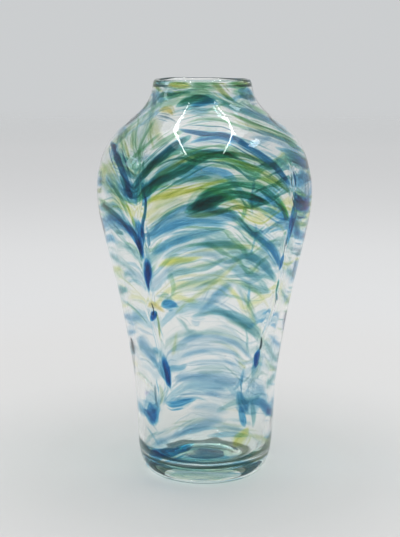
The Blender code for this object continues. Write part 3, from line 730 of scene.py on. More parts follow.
# ---------------------------------------------------------------------------------------------------------------------
# the trails themselves: piece (named after the CAD trail that it stands for), then its ribbons as
# (film, density, ((azimuth, height, width), ...)), azimuth in degrees from the front and the rest in mm
# ---------------------------------------------------------------------------------------------------------------------
TRAILS = {
    "neck_green_trail": (
        ("green", 0.9, ((-60, 232, 2.5), (-44, 231.5, 3.5), (-26, 232.5, 4), (-10, 233.5, 5), (4, 233, 5), (16, 231, 2.5))),
        ("lime", 0.9, ((-46, 236.5, 2), (-34, 237.4, 4.5), (-24, 237.4, 4.5), (-12, 237, 2.5))),
        ("green", 0.9, ((-16, 238, 2), (-4, 238.2, 3), (10, 238.4, 3), (22, 238, 2))),
        ("blue_green", 0.7, ((-80, 238, 2), (-66, 237.6, 3), (-52, 237.8, 3), (-42, 238.2, 2))),
        ("slate", 0.8, ((-84, 234, 2), (-74, 231, 4), (-64, 227.6, 4), (-54, 224.6, 2))),
        ("mid_blue", 0.9, ((-68, 234, 3), (-60, 231.5, 4.5), (-52, 229, 5), (-44, 228.5, 3))),
        ("green", 0.6, ((-16, 237, 2), (-2, 236.5, 3), (10, 235.5, 3), (18, 234, 1.5))),
        ("pale_green", 0.5, ((-58, 226, 3), (-46, 227.5, 4), (-32, 229, 3), (-20, 230, 2))),
    ),
    "neck_teal_trail": (
        ("deep_teal", 1.0, ((-29, 225.5, 2.5), (-20, 228, 4.5), (-8, 229.3, 5), (4, 229.6, 4.5), (15, 228.5, 2))),
        ("cobalt", 0.8, ((-14, 226, 2), (-2, 227.2, 3.5), (9, 228.5, 3.5), (17, 226.5, 2))),
        ("blue_green", 0.55, ((-34, 221.6, 1.2), (-24, 223.5, 2), (-8, 224.8, 2.2), (8, 224.6, 2), (20, 222.6, 1.4))),
    ),
    "neck_olive_streak": (
        ("olive", 1.0, ((10, 238, 3), (16, 236.6, 4), (23, 233.6, 4), (30, 230.6, 3), (37, 228, 1.6))),
        ("green", 0.8, ((28, 237.6, 2), (38, 237, 4), (50, 236, 4), (64, 235, 2.5))),
        ("mid_blue", 0.9, ((40, 233, 2), (52, 234, 4), (66, 233, 4), (82, 231, 2.5))),
        ("slate", 0.9, ((44, 231.5, 2), (56, 230.5, 5), (70, 229.5, 5), (86, 228, 3))),
        ("olive", 0.8, ((36, 238, 2), (48, 237.6, 4), (62, 237, 4), (78, 236.6, 2))),
        ("pale_green", 1.0, ((44, 233, 3), (56, 232, 6), (68, 231, 6), (82, 229.6, 3))),
        ("green", 0.8, ((50, 226, 2), (62, 224.6, 3), (74, 222, 3), (86, 218.6, 2))),
    ),
    "shoulder_teal_streak": (
        ("blue_green", 1.3, ((15, 228.5, 2), (23, 227, 4), (32, 225, 4.5), (44, 222, 4.5), (58, 217.5, 4), (72, 211.5, 3), (84, 206, 2))),
        ("green", 1.0, ((28, 221, 2), (42, 217, 2.6), (56, 212, 2.4), (70, 206.5, 2), (80, 202, 1.6))),
        ("slate", 0.9, ((27, 214.5, 1.6), (38, 212.6, 2.6), (52, 208.6, 2.6), (66, 203, 2))),
        ("mid_blue", 1.0, ((36, 225.6, 1.5), (50, 222.5, 3), (64, 219, 3.4), (80, 215, 2.5))),
        ("cornflower", 0.9, ((30, 210, 3), (44, 208, 4), (58, 203, 5), (72, 198, 4))),
        ("cobalt", 0.7, ((40, 213.6, 1.4), (54, 209, 2.2), (68, 203.6, 2.4), (80, 198.6, 1.8))),
        ("pale_yellow", 1.1, ((24, 219, 2), (38, 215, 4), (52, 210.6, 5), (66, 205, 4), (76, 200, 2))),
        ("green", 0.9, ((34, 218.6, 1.4), (48, 214.6, 2.6), (62, 209.6, 3), (76, 203.6, 2.2))),
        ("mid_blue", 1.1, ((46, 203.6, 2), (56, 200.6, 4), (66, 197, 5), (78, 193, 4), (90, 190, 2))),
        ("slate", 1.0, ((50, 197, 1.6), (60, 193.6, 3), (70, 190.6, 3), (80, 188, 2))),
        ("slate", 0.9, ((44, 228, 1.4), (56, 223.6, 2), (68, 218, 2.2), (80, 211.6, 1.6))),
    ),
    "shoulder_yellow_spot": (
        ("amber", 1.0, ((-47, 222.5, 2), (-41, 224, 4.5), (-34, 223.6, 4), (-27, 221, 2))),
        ("slate", 0.9, ((-46, 220.6, 1.2), (-38, 220.4, 1.6), (-29, 219.4, 1.4), (-22, 217.6, 1))),
        ("pale_green", 0.5, ((-66, 227, 3), (-56, 222.5, 6), (-47, 214, 7), (-40, 205.5, 7), (-36, 198.5, 4))),
        ("olive", 0.55, ((-50, 219.5, 1.4), (-42, 214.5, 2.2), (-35, 208.5, 2.2), (-30, 203, 1.4))),
        ("pale_yellow", 0.9, ((-58, 213, 2), (-50, 207, 4.2), (-44, 201, 3.4))),
        ("slate", 0.6, ((-58, 229, 1.5), (-68, 223.6, 2.2), (-78, 214, 2.4), (-86, 204, 2))),
        ("green", 0.6, ((-52, 227, 2), (-60, 220.6, 3), (-68, 211.6, 3), (-76, 202.6, 2))),
        ("mid_blue", 0.5, ((-46, 226, 2), (-52, 219, 3), (-58, 211.6, 4), (-64, 205, 3.4), (-68, 198, 2))),
        ("blue_green", 0.6, ((-62, 231, 1.5), (-74, 226, 2.4), (-86, 216, 2.4), (-94, 206, 2))),
        ("olive", 0.6, ((-56, 218, 1.4), (-62, 212, 2), (-70, 206, 2), (-78, 196, 1.5))),
        ("pale_yellow", 0.8, ((-50, 221, 4), (-40, 216, 8), (-32, 211, 8), (-26, 207, 4))),
        ("pale_green", 0.7, ((-60, 214, 4), (-52, 209, 8), (-44, 204, 9), (-38, 199, 6), (-34, 195, 3))),
        ("pale_yellow", 0.8, ((-72, 216, 3), (-64, 209, 6), (-56, 202, 7), (-50, 198, 4))),
        ("green", 0.8, ((-44, 219, 1.5), (-42, 212, 2.6), (-41, 205, 2.6), (-38, 198, 2), (-36, 192, 1.4))),
        ("green", 0.8, ((-30, 212, 2), (-36, 205, 3.4), (-41, 199, 3.4), (-46, 193, 2))),
    ),
    "shoulder_navy_arch": (
        ("navy", 0.8, ((-18, 214.5, 1.8), (-8, 213, 3.2), (4, 211.8, 3.8), (14, 211.3, 4), (21, 208.8, 4), (28, 204, 4), (34, 199.4, 4), (40, 194.6, 3.8), (46, 188.2, 3.4), (50.5, 181.5, 2.4))),
        ("cobalt", 0.8, ((-8, 207.5, 2), (2, 209.4, 3), (12, 209.6, 3), (20, 206.8, 2))),
        ("green", 0.7, ((-14, 217.6, 1.4), (-2, 219.4, 2.4), (12, 219.2, 2.6), (26, 216, 2.2), (36, 212, 1.5))),
        ("pale_green", 0.7, ((-10, 222, 1.2), (2, 222.4, 2), (16, 221.6, 2), (26, 219.6, 1.2))),
        ("sky", 0.8, ((21, 206.6, 2), (30, 206, 3.6), (40, 207.6, 3.4), (50, 209, 2))),
        ("mid_blue", 0.6, ((34, 203, 1.6), (42, 198.6, 2.6), (50, 192.6, 3), (55, 188, 2))),
    ),
    "left_navy_trail": (
        ("navy", 1.0, ((-78, 204, 1.6), (-70, 202.4, 2.6), (-63, 200, 3.8), (-56, 196.4, 4.6), (-50, 191.2, 4.6), (-45, 185.6, 4), (-41, 179.6, 2.6))),
        ("deep_teal", 0.8, ((-50, 189, 2), (-46, 184, 5), (-42, 180, 7), (-38.5, 178.6, 7), (-34, 182, 6), (-30, 187, 3))),
        ("blue_green", 1.1, ((-47, 193, 2), (-42, 188.6, 4), (-37, 187.6, 5), (-32, 192, 5), (-27, 198, 4), (-22, 203, 2))),
        ("navy", 0.8, ((-45, 183, 2), (-41.6, 178, 4), (-39, 174.6, 2.4))),
        ("sky", 0.9, ((-50, 196.6, 3), (-44, 196.6, 5.5), (-37, 197.4, 5), (-30, 200, 2))),
        ("slate", 0.7, ((-88, 213, 2), (-78, 211, 2.6), (-70, 207.6, 2.4), (-62, 203.4, 1.6))),
        ("pale_green", 0.7, ((-88, 221, 3), (-76, 219, 4), (-66, 213.6, 4), (-58, 206, 3))),
    ),
    "dark_teal_arch": (
        ("deep_teal", 0.95, ((-39.6, 180, 3), (-35, 187, 4.4), (-30, 193, 4.6), (-24, 199, 4.8), (-18, 204.6, 5), (-13, 208.4, 4.4), (-8, 211, 3))),
        ("green", 0.7, ((-33, 202.6, 2), (-26, 207.4, 5), (-19, 211.6, 5), (-13, 213.6, 2))),
        ("navy", 0.4, ((-30, 195, 2), (-24, 201, 3), (-18, 206.4, 3.4), (-12, 210.6, 2))),
        ("blue_green", 0.5, ((-37, 190, 2), (-32, 197, 3), (-27, 202.6, 2))),
    ),
    "dark_green_arch": (
        ("dark_green", 1.15, ((-37.5, 173.6, 3), (-32, 178.6, 5), (-26, 184, 5.6), (-19, 188.6, 5.4), (-11, 193.2, 5), (-4, 198, 5), (4, 200.6, 4.6), (12, 201, 4), (20, 200, 3.4))),
        ("olive", 1.1, ((8, 202.6, 2), (16, 202, 4), (24, 200, 4), (31, 197, 3.4), (37, 193, 2.4))),
        ("lime", 0.7, ((4, 198, 1.5), (12, 198, 2.6), (20, 196.6, 2.6), (28, 193, 2.2), (36, 187.6, 1.6))),
        ("olive", 0.7, ((-30, 186, 1.4), (-22, 191.6, 2), (-13, 197, 2.6), (-4, 201.6, 2.2), (4, 203.6, 1.6))),
        ("blue_green", 0.8, ((28, 196.4, 2), (35, 193, 3), (41, 188.6, 3), (47, 181.6, 2.4), (50, 175, 1.6))),
        ("deep_teal", 0.5, ((-34, 180, 3), (-28, 184.6, 5), (-21, 187.6, 4), (-14, 190, 2))),
        ("green", 0.8, ((0, 195.6, 1.6), (10, 195.2, 2.6), (20, 193, 3), (28, 189.4, 2.8), (36, 184.6, 2.4), (43, 178.4, 1.6))),
        ("pale_green", 1.0, ((-8, 187.6, 4), (-2, 189, 8), (4, 188.4, 9), (11, 187, 4))),
    ),
    "lime_arch": (
        ("lime", 0.95, ((-31, 173.6, 2), (-26, 176.4, 4.6), (-19, 178.6, 4.4), (-11, 180.6, 3), (-3, 183, 2.6), (6, 186.6, 2.4), (14, 187.4, 1.6))),
        ("pale_yellow", 1.0, ((-33, 160, 2), (-27, 164.6, 3.4), (-20, 169, 3.4), (-13, 173.6, 3.2), (-6, 178, 2.4))),
        ("pale_green", 0.6, ((-27, 170, 2), (-18, 174.6, 3), (-10, 177.6, 2.4))),
        ("green", 0.5, ((8, 188, 1.4), (18, 188, 2.4), (26, 185.6, 2.4), (34, 182, 1.6))),
    ),
    "green_arch": (
        ("dark_green", 0.85, ((-4, 178.6, 2), (3, 181.6, 3), (11, 184.2, 4), (19, 184.6, 4), (27, 182.8, 4.2), (34, 178.6, 4.4), (40, 173.8, 4.4), (45, 168, 4), (49.5, 161, 2.4))),
        ("cobalt", 0.6, ((30, 179, 2), (37, 174, 3.4), (43, 169, 3.4), (48, 162.6, 2))),
        ("lime", 0.7, ((26, 187.4, 1.4), (33, 186.6, 3), (40, 184, 4), (45, 180.4, 3))),
        ("lime", 0.8, ((42, 173, 1.4), (46, 167.6, 2.6), (49, 161.6, 2))),
    ),
    "deep_green_fish": (
        ("dark_green", 1.15, ((-10.5, 169, 2.6), (-6, 171.2, 6), (-1, 174.8, 9), (6, 177.6, 8.4), (13, 179, 6), (21, 178.6, 4.4), (28, 176, 3), (36, 171, 2))),
        ("deep_teal", 0.9, ((-7, 170, 3), (-2, 172.6, 5), (4, 175.6, 4.6), (12, 177.4, 3))),
        ("deep_teal", 0.9, ((21, 175.4, 2), (24.5, 174.8, 5), (28.5, 174.6, 5), (32, 173, 2.4))),
        ("olive", 1.0, ((-10, 167, 1.8), (0, 168.2, 3.6), (12, 170.6, 3.6), (21, 172, 3), (30, 169, 2))),
        ("navy", 0.4, ((-8, 171, 2), (-3, 174, 4), (4, 177, 4), (12, 179, 2.4))),
        ("green", 0.7, ((20.5, 173.5, 2.4), (20, 168.4, 3.6), (18.6, 163, 2.2))),
        ("olive", 0.45, ((8, 174.4, 1.6), (16, 175.4, 2.4), (26, 171.6, 2), (34, 167.4, 1.4))),
    ),
    "broad_blue_arch": (
        ("mid_blue", 0.95, ((-34, 149.6, 3), (-29, 154, 6), (-21, 160.6, 8), (-11, 165, 9), (-1, 166.6, 8), (9, 166.8, 7), (18, 164.6, 3))),
        ("cobalt", 0.45, ((-30, 152.6, 2), (-22, 158.6, 4), (-12, 162.6, 5), (0, 163.8, 4.6), (12, 162.4, 3))),
        ("grey_teal", 0.8, ((-20, 163.6, 3), (-10, 169, 4), (0, 170.4, 4), (10, 169.6, 3))),
    ),
    "right_blue_streak": (
        ("cobalt", 0.8, ((28, 171.6, 2), (34, 169, 3.4), (40, 166.2, 4), (46, 163.4, 4), (51, 161.6, 2.6))),
        ("sky", 0.7, ((34, 173.6, 1.6), (40, 170, 2.6), (46, 165.6, 2))),
        ("pale_yellow", 0.7, ((32, 160.6, 2), (38, 160.6, 3.6), (44, 158.6, 3), (48, 154, 2))),
    ),
    "lower_blue_arch": (
        ("mid_blue", 0.75, ((-32, 142, 2.6), (-26, 146.4, 5), (-18, 151.2, 6), (-9, 155, 6), (1, 158.2, 5), (11, 160.6, 4.6))),
        ("cobalt", 0.3, ((-30, 143.6, 2), (-22, 148.6, 3.6), (-13, 152.8, 3.6), (-4, 155.6, 2.4))),
        ("green", 0.6, ((12, 168.4, 3), (17, 164, 5), (23, 159, 6), (29, 154, 6.4), (35, 148.6, 4))),
        ("mid_blue", 1.0, ((14, 161, 2.4), (22, 159, 4), (29, 154.4, 5.4), (35, 149.6, 6), (41, 144.6, 6), (46, 139, 5), (50.5, 131.6, 2.6))),
        ("cobalt", 0.7, ((24, 157, 2), (30, 153, 3), (38, 146.6, 3.6), (44, 140.6, 3.6), (49, 134, 2.6))),
        ("grey_teal", 0.7, ((30, 147, 2), (36, 142, 3), (42, 137.4, 3), (47, 131.6, 2))),
    ),
    "lemon_arch": (
        ("pale_yellow", 0.95, ((-12, 145.6, 1.6), (-2, 147, 2.6), (8, 149, 3.4), (18, 149.8, 3.4), (27, 148.4, 3), (34, 145.4, 1.6))),
        ("yellow", 0.5, ((10, 147.6, 1.4), (19, 148.4, 2.2), (28, 147, 1.6))),
        ("grey_teal", 0.6, ((-4, 151.6, 1.4), (8, 152.4, 2.2), (20, 152, 2.2), (30, 149.6, 1.6))),
        ("grey_teal", 0.6, ((-20, 141.6, 1.6), (-8, 144, 3), (4, 145.2, 3.4), (16, 145.8, 3), (28, 143.6, 2))),
    ),
    "lemon_lens": (
        ("yellow", 1.2, ((-28, 136.4, 2), (-23, 138.8, 4.6), (-16, 140.8, 5.6), (-9, 142, 4), (-1, 143.6, 2))),
        ("pale_yellow", 0.7, ((-12, 136, 1.6), (-2, 138.4, 2.4), (8, 141, 2), (16, 143.6, 1.6))),
        ("sky", 0.5, ((-26, 133.6, 1.6), (-17, 135.4, 2.6), (-8, 137, 2))),
    ),
    "teal_wave": (
        ("blue_green", 0.75, ((-24, 129.6, 2), (-18, 132.6, 4), (-10, 134.8, 4.4), (-2, 136.8, 4.4), (6, 140, 3.6), (14, 143.4, 2.8))),
        ("blue_green", 0.95, ((8, 139, 2), (15, 141, 3.4), (22, 143, 4.8), (29, 141, 6), (36, 136.4, 6), (42, 131.6, 5), (49, 124.6, 3))),
        ("mid_blue", 0.8, ((18, 143.4, 2), (25, 142.4, 4), (32, 138.6, 4.6), (39, 133.4, 4), (46, 127, 2.6))),
        ("grey_teal", 1.0, ((-21, 122.6, 2), (-12, 126.6, 4), (-3, 130.2, 4.4), (6, 133.6, 4), (14, 137.4, 2.4))),
        ("green", 0.5, ((-21, 135.6, 2), (-20, 129.6, 3.4), (-19.6, 123.6, 3), (-22, 117.6, 2))),
        ("pale_yellow", 0.9, ((24, 135.6, 1.6), (29, 135, 4), (34, 132.6, 2))),
    ),
    "pale_lime_streak": (
        ("pale_yellow", 1.0, ((-14, 114.6, 1.8), (-6, 119.4, 3), (2, 125.4, 3.4), (10, 132, 3.4), (16, 137.6, 2.8), (21, 141.6, 1.6))),
        ("pale_green", 0.7, ((-4, 125.4, 1.6), (4, 129.6, 2.4), (12, 135.4, 2))),
        ("yellow", 0.55, ((-23, 117, 2), (-17, 118.6, 5), (-11, 117.6, 4), (-4, 116.6, 3.4))),
    ),
    "blue_lens": (
        ("blue_green", 0.75, ((18, 126.6, 2), (25, 124.8, 5), (32, 122.6, 6.4), (39, 120.8, 5), (46, 119, 2.6))),
        ("blue_green", 0.7, ((10, 131.4, 1.8), (20, 131.8, 3), (30, 131, 3.4), (41, 128.6, 3), (48, 125, 2))),
        ("pale_yellow", 0.9, ((24, 121.6, 1.6), (28, 114, 3.4), (32, 106, 3), (37, 98, 1.8))),
        ("grey_teal", 0.8, ((17, 127.6, 2.6), (21, 122.6, 3), (26, 115.6, 3), (32, 108.6, 2.4), (38, 100, 1.6))),
    ),
    "cornflower_patch": (
        ("cornflower", 0.95, ((-4, 109.6, 2.6), (2, 114.8, 5), (8, 120.4, 8), (13.5, 125.4, 8), (19, 128, 4))),
        ("mid_blue", 0.5, ((3, 117.6, 2), (9, 122.6, 4), (15, 127, 3))),
        ("sky", 0.6, ((-8, 122.6, 2), (0, 126.4, 3), (8, 129, 2.4))),
    ),
    "small_blue_spot": (
        ("cobalt", 1.0, ((-29.5, 112, 3), (-25, 113.8, 5.6), (-20.5, 114, 4.4), (-17, 112.6, 2))),
        ("grey_teal", 0.8, ((-33, 118, 2), (-26, 118.6, 3), (-20, 116.6, 2.4))),
        ("pale_yellow", 0.7, ((-20, 108, 1.6), (-16, 112, 2.4), (-12, 116, 2))),
    ),
    "falling_teal_streak": (
        ("grey_teal", 1.1, ((-8, 108, 2), (0, 109.4, 4), (7, 111, 5), (14, 107.8, 5.4), (22, 102.8, 5), (30, 97.4, 4), (37, 92.6, 3), (42, 87, 2))),
        ("mid_blue", 0.5, ((-10, 107, 1.6), (-4, 108.6, 3.4), (2, 109.2, 2.4))),
        ("blue_green", 0.4, ((10, 110.6, 1.6), (20, 105, 2.6), (30, 98.6, 2.4), (38, 91.6, 1.6))),
    ),
    "grey_teal_streak": (
        ("grey_teal", 0.9, ((-20, 106.6, 1.6), (-15, 103, 2.6), (-11, 98.4, 3), (-6, 99.6, 2))),
        ("cornflower", 0.6, ((-10, 105, 1.4), (-6, 103.4, 2.4), (-3, 104.6, 1.4))),
        ("pale_yellow", 0.9, ((-25, 81.6, 1.6), (-23.4, 86, 4), (-21.6, 91, 2.6), (-19.6, 97.6, 1.6))),
    ),
    "middle_blue_band": (
        ("cornflower", 0.8, ((-22, 86.6, 2.4), (-16, 91.4, 4.6), (-8, 94.4, 5), (1, 95.4, 4), (10, 94.2, 3.4), (18, 91.4, 4), (26, 86.8, 3.8), (33, 81, 3), (38.5, 76, 2))),
        ("mid_blue", 0.5, ((-16, 92.6, 1.6), (-9, 95.4, 2.6), (-1, 96.4, 2))),
        ("grey_teal", 0.7, ((-27, 84.6, 2), (-20, 88.6, 3), (-12, 89.8, 2.4))),
    ),
    "thin_blue_band": (
        ("sky", 0.95, ((-20, 80.6, 2), (-11, 84, 3.2), (-1, 86.6, 3.8), (9, 86.8, 3.6), (19, 84.2, 3.2), (29, 78.6, 2.4))),
        ("sky", 0.8, ((-18, 76.6, 1.6), (-6, 79.2, 2.4), (6, 80, 2.6), (18, 78.2, 2.2), (28, 74.2, 1.6))),
        ("grey_teal", 0.6, ((-15, 72.8, 1.4), (-3, 75.2, 2.2), (9, 75.6, 2.2), (20, 73.4, 1.8), (28, 70, 1.4))),
        ("pale_yellow", 0.8, ((24, 79, 1.4), (28, 76, 2.6), (32.6, 72.8, 1.6))),
    ),
    "wide_pale_band": (
        ("cornflower", 1.05, ((-27, 65, 3), (-18, 68.6, 7), (-7, 69.6, 9), (5, 69, 10), (16, 66.8, 10), (25, 65.6, 7), (29.4, 67, 3))),
        ("mid_blue", 0.75, ((21.6, 60, 1.8), (26.6, 63.6, 3), (29.2, 68.6, 3), (30.6, 74, 2))),
        ("mid_blue", 0.9, ((-31, 73, 3), (-25, 74, 5.4), (-18, 75.2, 4), (-14, 78, 2))),
        ("sky", 0.5, ((-20, 62, 2), (-8, 64, 3.4), (6, 63, 3.6), (18, 60.6, 3))),
    ),
    "blue_teardrop": (
        ("cobalt", 0.9, ((-34.5, 51.6, 2.6), (-29, 51, 4.6), (-22, 52, 4.2), (-15, 54.2, 3), (-7, 55.6, 2))),
        ("mid_blue", 0.6, ((-30, 53.6, 2), (-20, 55, 2.6), (-8, 56.4, 2), (2, 54.8, 1.6))),
        ("sky", 0.7, ((-14, 49.6, 3), (0, 51.4, 7), (10, 49.6, 7), (20, 47, 4))),
        ("cornflower", 0.6, ((-2, 60, 3), (10, 58.6, 6), (20, 56.6, 6), (28, 56, 3))),
    ),
    "right_blue_knot": (
        ("blue_green", 0.6, ((8, 47.6, 2.4), (16, 50.6, 4), (25, 52.6, 5), (34, 52, 5), (44, 52, 4), (54, 55, 2.6))),
        ("mid_blue", 1.5, ((26, 60, 3), (29, 55, 6), (32, 50, 8), (35, 46, 5), (37, 43, 3))),
        ("mid_blue", 1.5, ((36, 52, 3), (46, 50.2, 5.6), (55, 46.6, 7), (62, 42.6, 7), (72, 38.6, 6), (86, 35.6, 4))),
        ("cobalt", 0.5, ((50, 49.6, 2), (57, 45, 3.4), (66, 40, 3), (78, 37, 2))),
        ("sky", 0.7, ((30, 62, 2.4), (40, 61, 5), (50, 57, 5), (57, 52.6, 3))),
    ),
    "low_blue_band": (
        ("cornflower", 0.9, ((-30, 29, 3), (-18, 34.6, 7), (-6, 39, 8), (6, 41.6, 7), (18, 42, 4))),
        ("mid_blue", 0.6, ((-24, 31.6, 2), (-12, 35.6, 4), (0, 37.8, 3.4), (10, 38, 2))),
        ("grey_teal", 0.8, ((4, 37.8, 2), (14, 37.6, 3.6), (24, 36, 4), (34, 34, 3))),
    ),
    "foot_blue_band": (
        ("cobalt", 1.05, ((-58, 11.6, 4), (-52, 13.8, 7), (-44, 16.8, 8), (-36, 19, 7), (-27, 21, 5.4), (-18, 24, 4), (-9, 28, 2.4))),
        ("cornflower", 0.7, ((-50, 22, 3), (-40, 25.6, 5), (-30, 29.6, 5), (-20, 33.6, 3.4))),
        ("mid_blue", 0.7, ((-34, 14, 3), (-18, 16.6, 6), (-2, 19, 7), (12, 18.6, 6), (24, 16, 3))),
        ("slate", 0.5, ((-26, 22, 3), (-8, 25, 5), (8, 25.6, 5), (22, 23, 3))),
    ),
    "foot_lemon_spot": (
        ("yellow", 1.0, ((24, 24, 4), (29, 29, 9), (34, 32, 8), (38, 36, 3))),
        ("pale_yellow", 0.7, ((20, 30, 2), (32, 31.6, 3), (46, 28, 3), (58, 23, 2))),
    ),
    "foot_teal_band": (
        ("mid_blue", 0.75, ((23, 17, 2.4), (27, 14.4, 5), (32, 13.2, 4), (43, 10.6, 3), (58, 8.4, 2.4))),
    ),
    "left_cusp_drip": (
        ("cobalt", 1.2, ((-47, 160, 3), (-42.6, 156, 6), (-39.4, 151.6, 7), (-37.6, 147, 5), (-36.8, 142, 1.8))),
        ("cusp_blue", 1.0, ((-40, 152, 2), (-38.4, 148, 3.6), (-37.4, 144, 2.6), (-36.9, 139.6, 1.2))),
        ("cusp_blue", 1.15, ((-34.6, 141, 2), (-34.8, 137, 5), (-35.4, 132.6, 6.6), (-36.4, 128, 5), (-37.2, 124, 3), (-37.6, 121, 1.6))),
        ("navy", 0.9, ((-33, 181, 1.2), (-31, 175, 1.8), (-31.6, 168.6, 1.8), (-33.4, 162, 2.2), (-34.4, 156, 3), (-34, 150, 2))),
        ("deep_teal", 0.8, ((-45, 162, 2), (-42, 157.6, 3), (-39.6, 152, 3.4), (-38.4, 145, 2), (-38, 138, 1.4))),
        ("lime", 1.0, ((-44.5, 173, 1.6), (-42, 167.6, 2.8), (-40.2, 162.6, 3), (-39, 158, 1.8))),
        ("mid_blue", 1.2, ((-41, 165, 3), (-38.6, 161, 7), (-37.4, 155, 7.4), (-37, 149, 5), (-36.9, 143, 2))),
        ("cobalt", 0.9, ((-36.4, 163.6, 2), (-35.8, 158.6, 4.2), (-36, 152.6, 4.2), (-36.6, 146, 2.2))),
        ("mid_blue", 0.6, ((-34.4, 147, 2), (-34.6, 139, 7.4), (-35.6, 131, 8.4), (-37, 124, 4), (-37.8, 117, 1.4))),
        ("navy", 0.7, ((-34.8, 139, 1.4), (-35.4, 132, 3), (-36.2, 127, 2.2), (-37.4, 119.6, 1))),
    ),
    "left_lower_drip": (
        ("cusp_blue", 1.2, ((-39.8, 101.6, 2), (-38, 104.4, 4.4), (-35.6, 106.8, 4.4), (-33.4, 108.4, 2.2))),
        ("amber", 0.8, ((-41, 110.6, 2.6), (-37, 112.4, 5), (-31, 111, 4), (-27, 108.6, 2))),
        ("olive", 0.8, ((-34.4, 109.6, 1.6), (-33.6, 102.6, 2.2), (-33.2, 95.6, 1.6), (-33.6, 89.6, 1))),
        ("ink", 0.6, ((-37, 114, 1), (-36, 110, 1.4), (-37, 105, 1))),
    ),
    "left_foot_drip": (
        ("cusp_blue", 0.95, ((-33.6, 81, 2.4), (-32, 76.6, 5), (-31, 71, 5.4), (-30.4, 65.6, 5.4), (-29.2, 61.6, 3))),
        ("mid_blue", 0.8, ((-36, 77, 2.4), (-34.4, 71, 4), (-33, 65, 3))),
        ("navy", 0.7, ((-32.6, 79, 1.4), (-31.4, 71, 2.8), (-30.2, 65, 2.6), (-28.6, 60, 1.2))),
        ("mid_blue", 0.5, ((-34.4, 86, 3), (-32.6, 77, 8), (-30.8, 68, 8.6), (-28.4, 59, 3))),
        ("mid_blue", 1.0, ((-41.6, 81.6, 2.6), (-38.8, 83.8, 6.6), (-35.6, 82.6, 3.6))),
        ("cornflower", 1.6, ((-60, 88, 6), (-52, 85, 14), (-45, 80.6, 13), (-39, 75, 6))),
        ("mid_blue", 0.9, ((-46, 79, 3), (-42, 76, 5), (-38, 72, 4), (-34, 66, 3))),
    ),
    "far_left_drip": (
        ("slate", 1.0, ((-43.4, 62, 1.8), (-44.4, 56.6, 3.2), (-44.6, 51, 2.6), (-43, 47, 1.8))),
        ("pale_green", 1.1, ((-39, 62.6, 2.6), (-37.6, 57.6, 5), (-38.4, 52.6, 4), (-41, 48, 2))),
        ("lilac", 0.9, ((-60, 52, 2.6), (-56, 53.6, 4), (-52, 55, 2.4))),
        ("cobalt", 0.8, ((-66, 41.6, 3), (-60, 40, 6), (-54, 38.4, 9), (-49, 39, 8), (-45, 43.6, 5), (-40.6, 48.4, 3))),
        ("cobalt", 0.9, ((-53, 49, 3), (-51.6, 44, 9), (-50.6, 39.6, 8), (-49.6, 34.6, 2.6))),
        ("mid_blue", 0.8, ((-66, 47, 4), (-57, 46, 7), (-48, 46, 8), (-42, 50, 4))),
        ("mid_blue", 0.8, ((-88, 41.6, 4), (-76, 41, 6), (-66, 40.4, 7), (-56, 41, 6), (-47, 46, 4), (-39, 52, 3))),
    ),
    "right_cusp_drip": (
        ("ink", 0.6, ((53, 187, 0.5), (51.6, 183, 1.1), (52.4, 180, 0.6))),
        ("ink", 0.6, ((52.6, 177, 0.6), (51.2, 173.6, 1.2), (52.6, 170, 1.0), (51.6, 167, 0.6))),
        ("cobalt", 1.2, ((51.6, 170, 2), (52.4, 165.6, 4), (51.6, 160, 3), (51.2, 155, 1.4))),
        ("ink", 0.5, ((51, 152, 0.5), (49.8, 147, 1.0), (50.6, 143, 0.9), (50.4, 139.6, 0.5))),
        ("cusp_blue", 0.9, ((50.6, 142, 1.4), (50.2, 138, 3.4), (49.8, 134.6, 2.6), (49.4, 131, 1))),
        ("navy", 0.8, ((53, 174, 1.6), (55, 167, 3.6), (54, 160, 3), (52.4, 150, 1.4))),
        ("mid_blue", 1.1, ((54, 180, 4), (61, 183, 8), (69, 184, 8), (80, 182, 5))),
        ("cobalt", 0.9, ((53.6, 171, 3), (59, 168, 7), (67, 168, 7), (78, 171, 4))),
        ("cobalt", 0.9, ((50.6, 165, 3), (52.4, 159, 5.6), (52.2, 153, 4.6), (51.2, 146, 2))),
        ("deep_teal", 0.9, ((50.4, 126.6, 1.2), (51, 122.6, 2.4), (50.4, 118.6, 1.8), (51.6, 114.6, 1.2))),
        ("slate", 1.1, ((51.6, 117.6, 1.4), (52.8, 115, 2.8), (54, 112, 1.6))),
    ),
    "right_middle_drip": (
        ("ink", 0.9, ((43, 92, 1), (43.4, 87.6, 2), (42.6, 83, 1.6))),
        ("cusp_blue", 1.1, ((42.4, 84, 2), (41.4, 79.6, 4.8), (41, 75, 3.4), (41, 72, 1.6))),
        ("grey_teal", 0.8, ((38, 96, 1.6), (41, 91.6, 2.4), (44, 86.6, 2))),
        ("mid_blue", 0.6, ((36, 72, 2), (39.6, 73.4, 3.6), (44, 74.6, 3), (49, 72, 2))),
        ("mid_blue", 0.7, ((42, 87, 2), (41.4, 80, 6.6), (40.4, 72, 5.6), (38.4, 66, 2))),
        ("grey_teal", 0.9, ((47, 81, 4), (44, 75, 9), (41, 68, 10), (36, 60, 5))),
    ),
    "right_foot_drip": (
        ("cobalt", 0.8, ((29, 50, 2), (30.4, 45, 5.4), (32.4, 40.6, 5), (34.4, 35.6, 2))),
        ("mid_blue", 0.8, ((33, 53, 3), (37, 49, 8), (43, 46, 9), (50, 44, 5))),
        ("blue_green", 0.8, ((40, 52, 2), (42, 46, 4), (43, 40, 4), (43, 34, 2))),
    ),
}

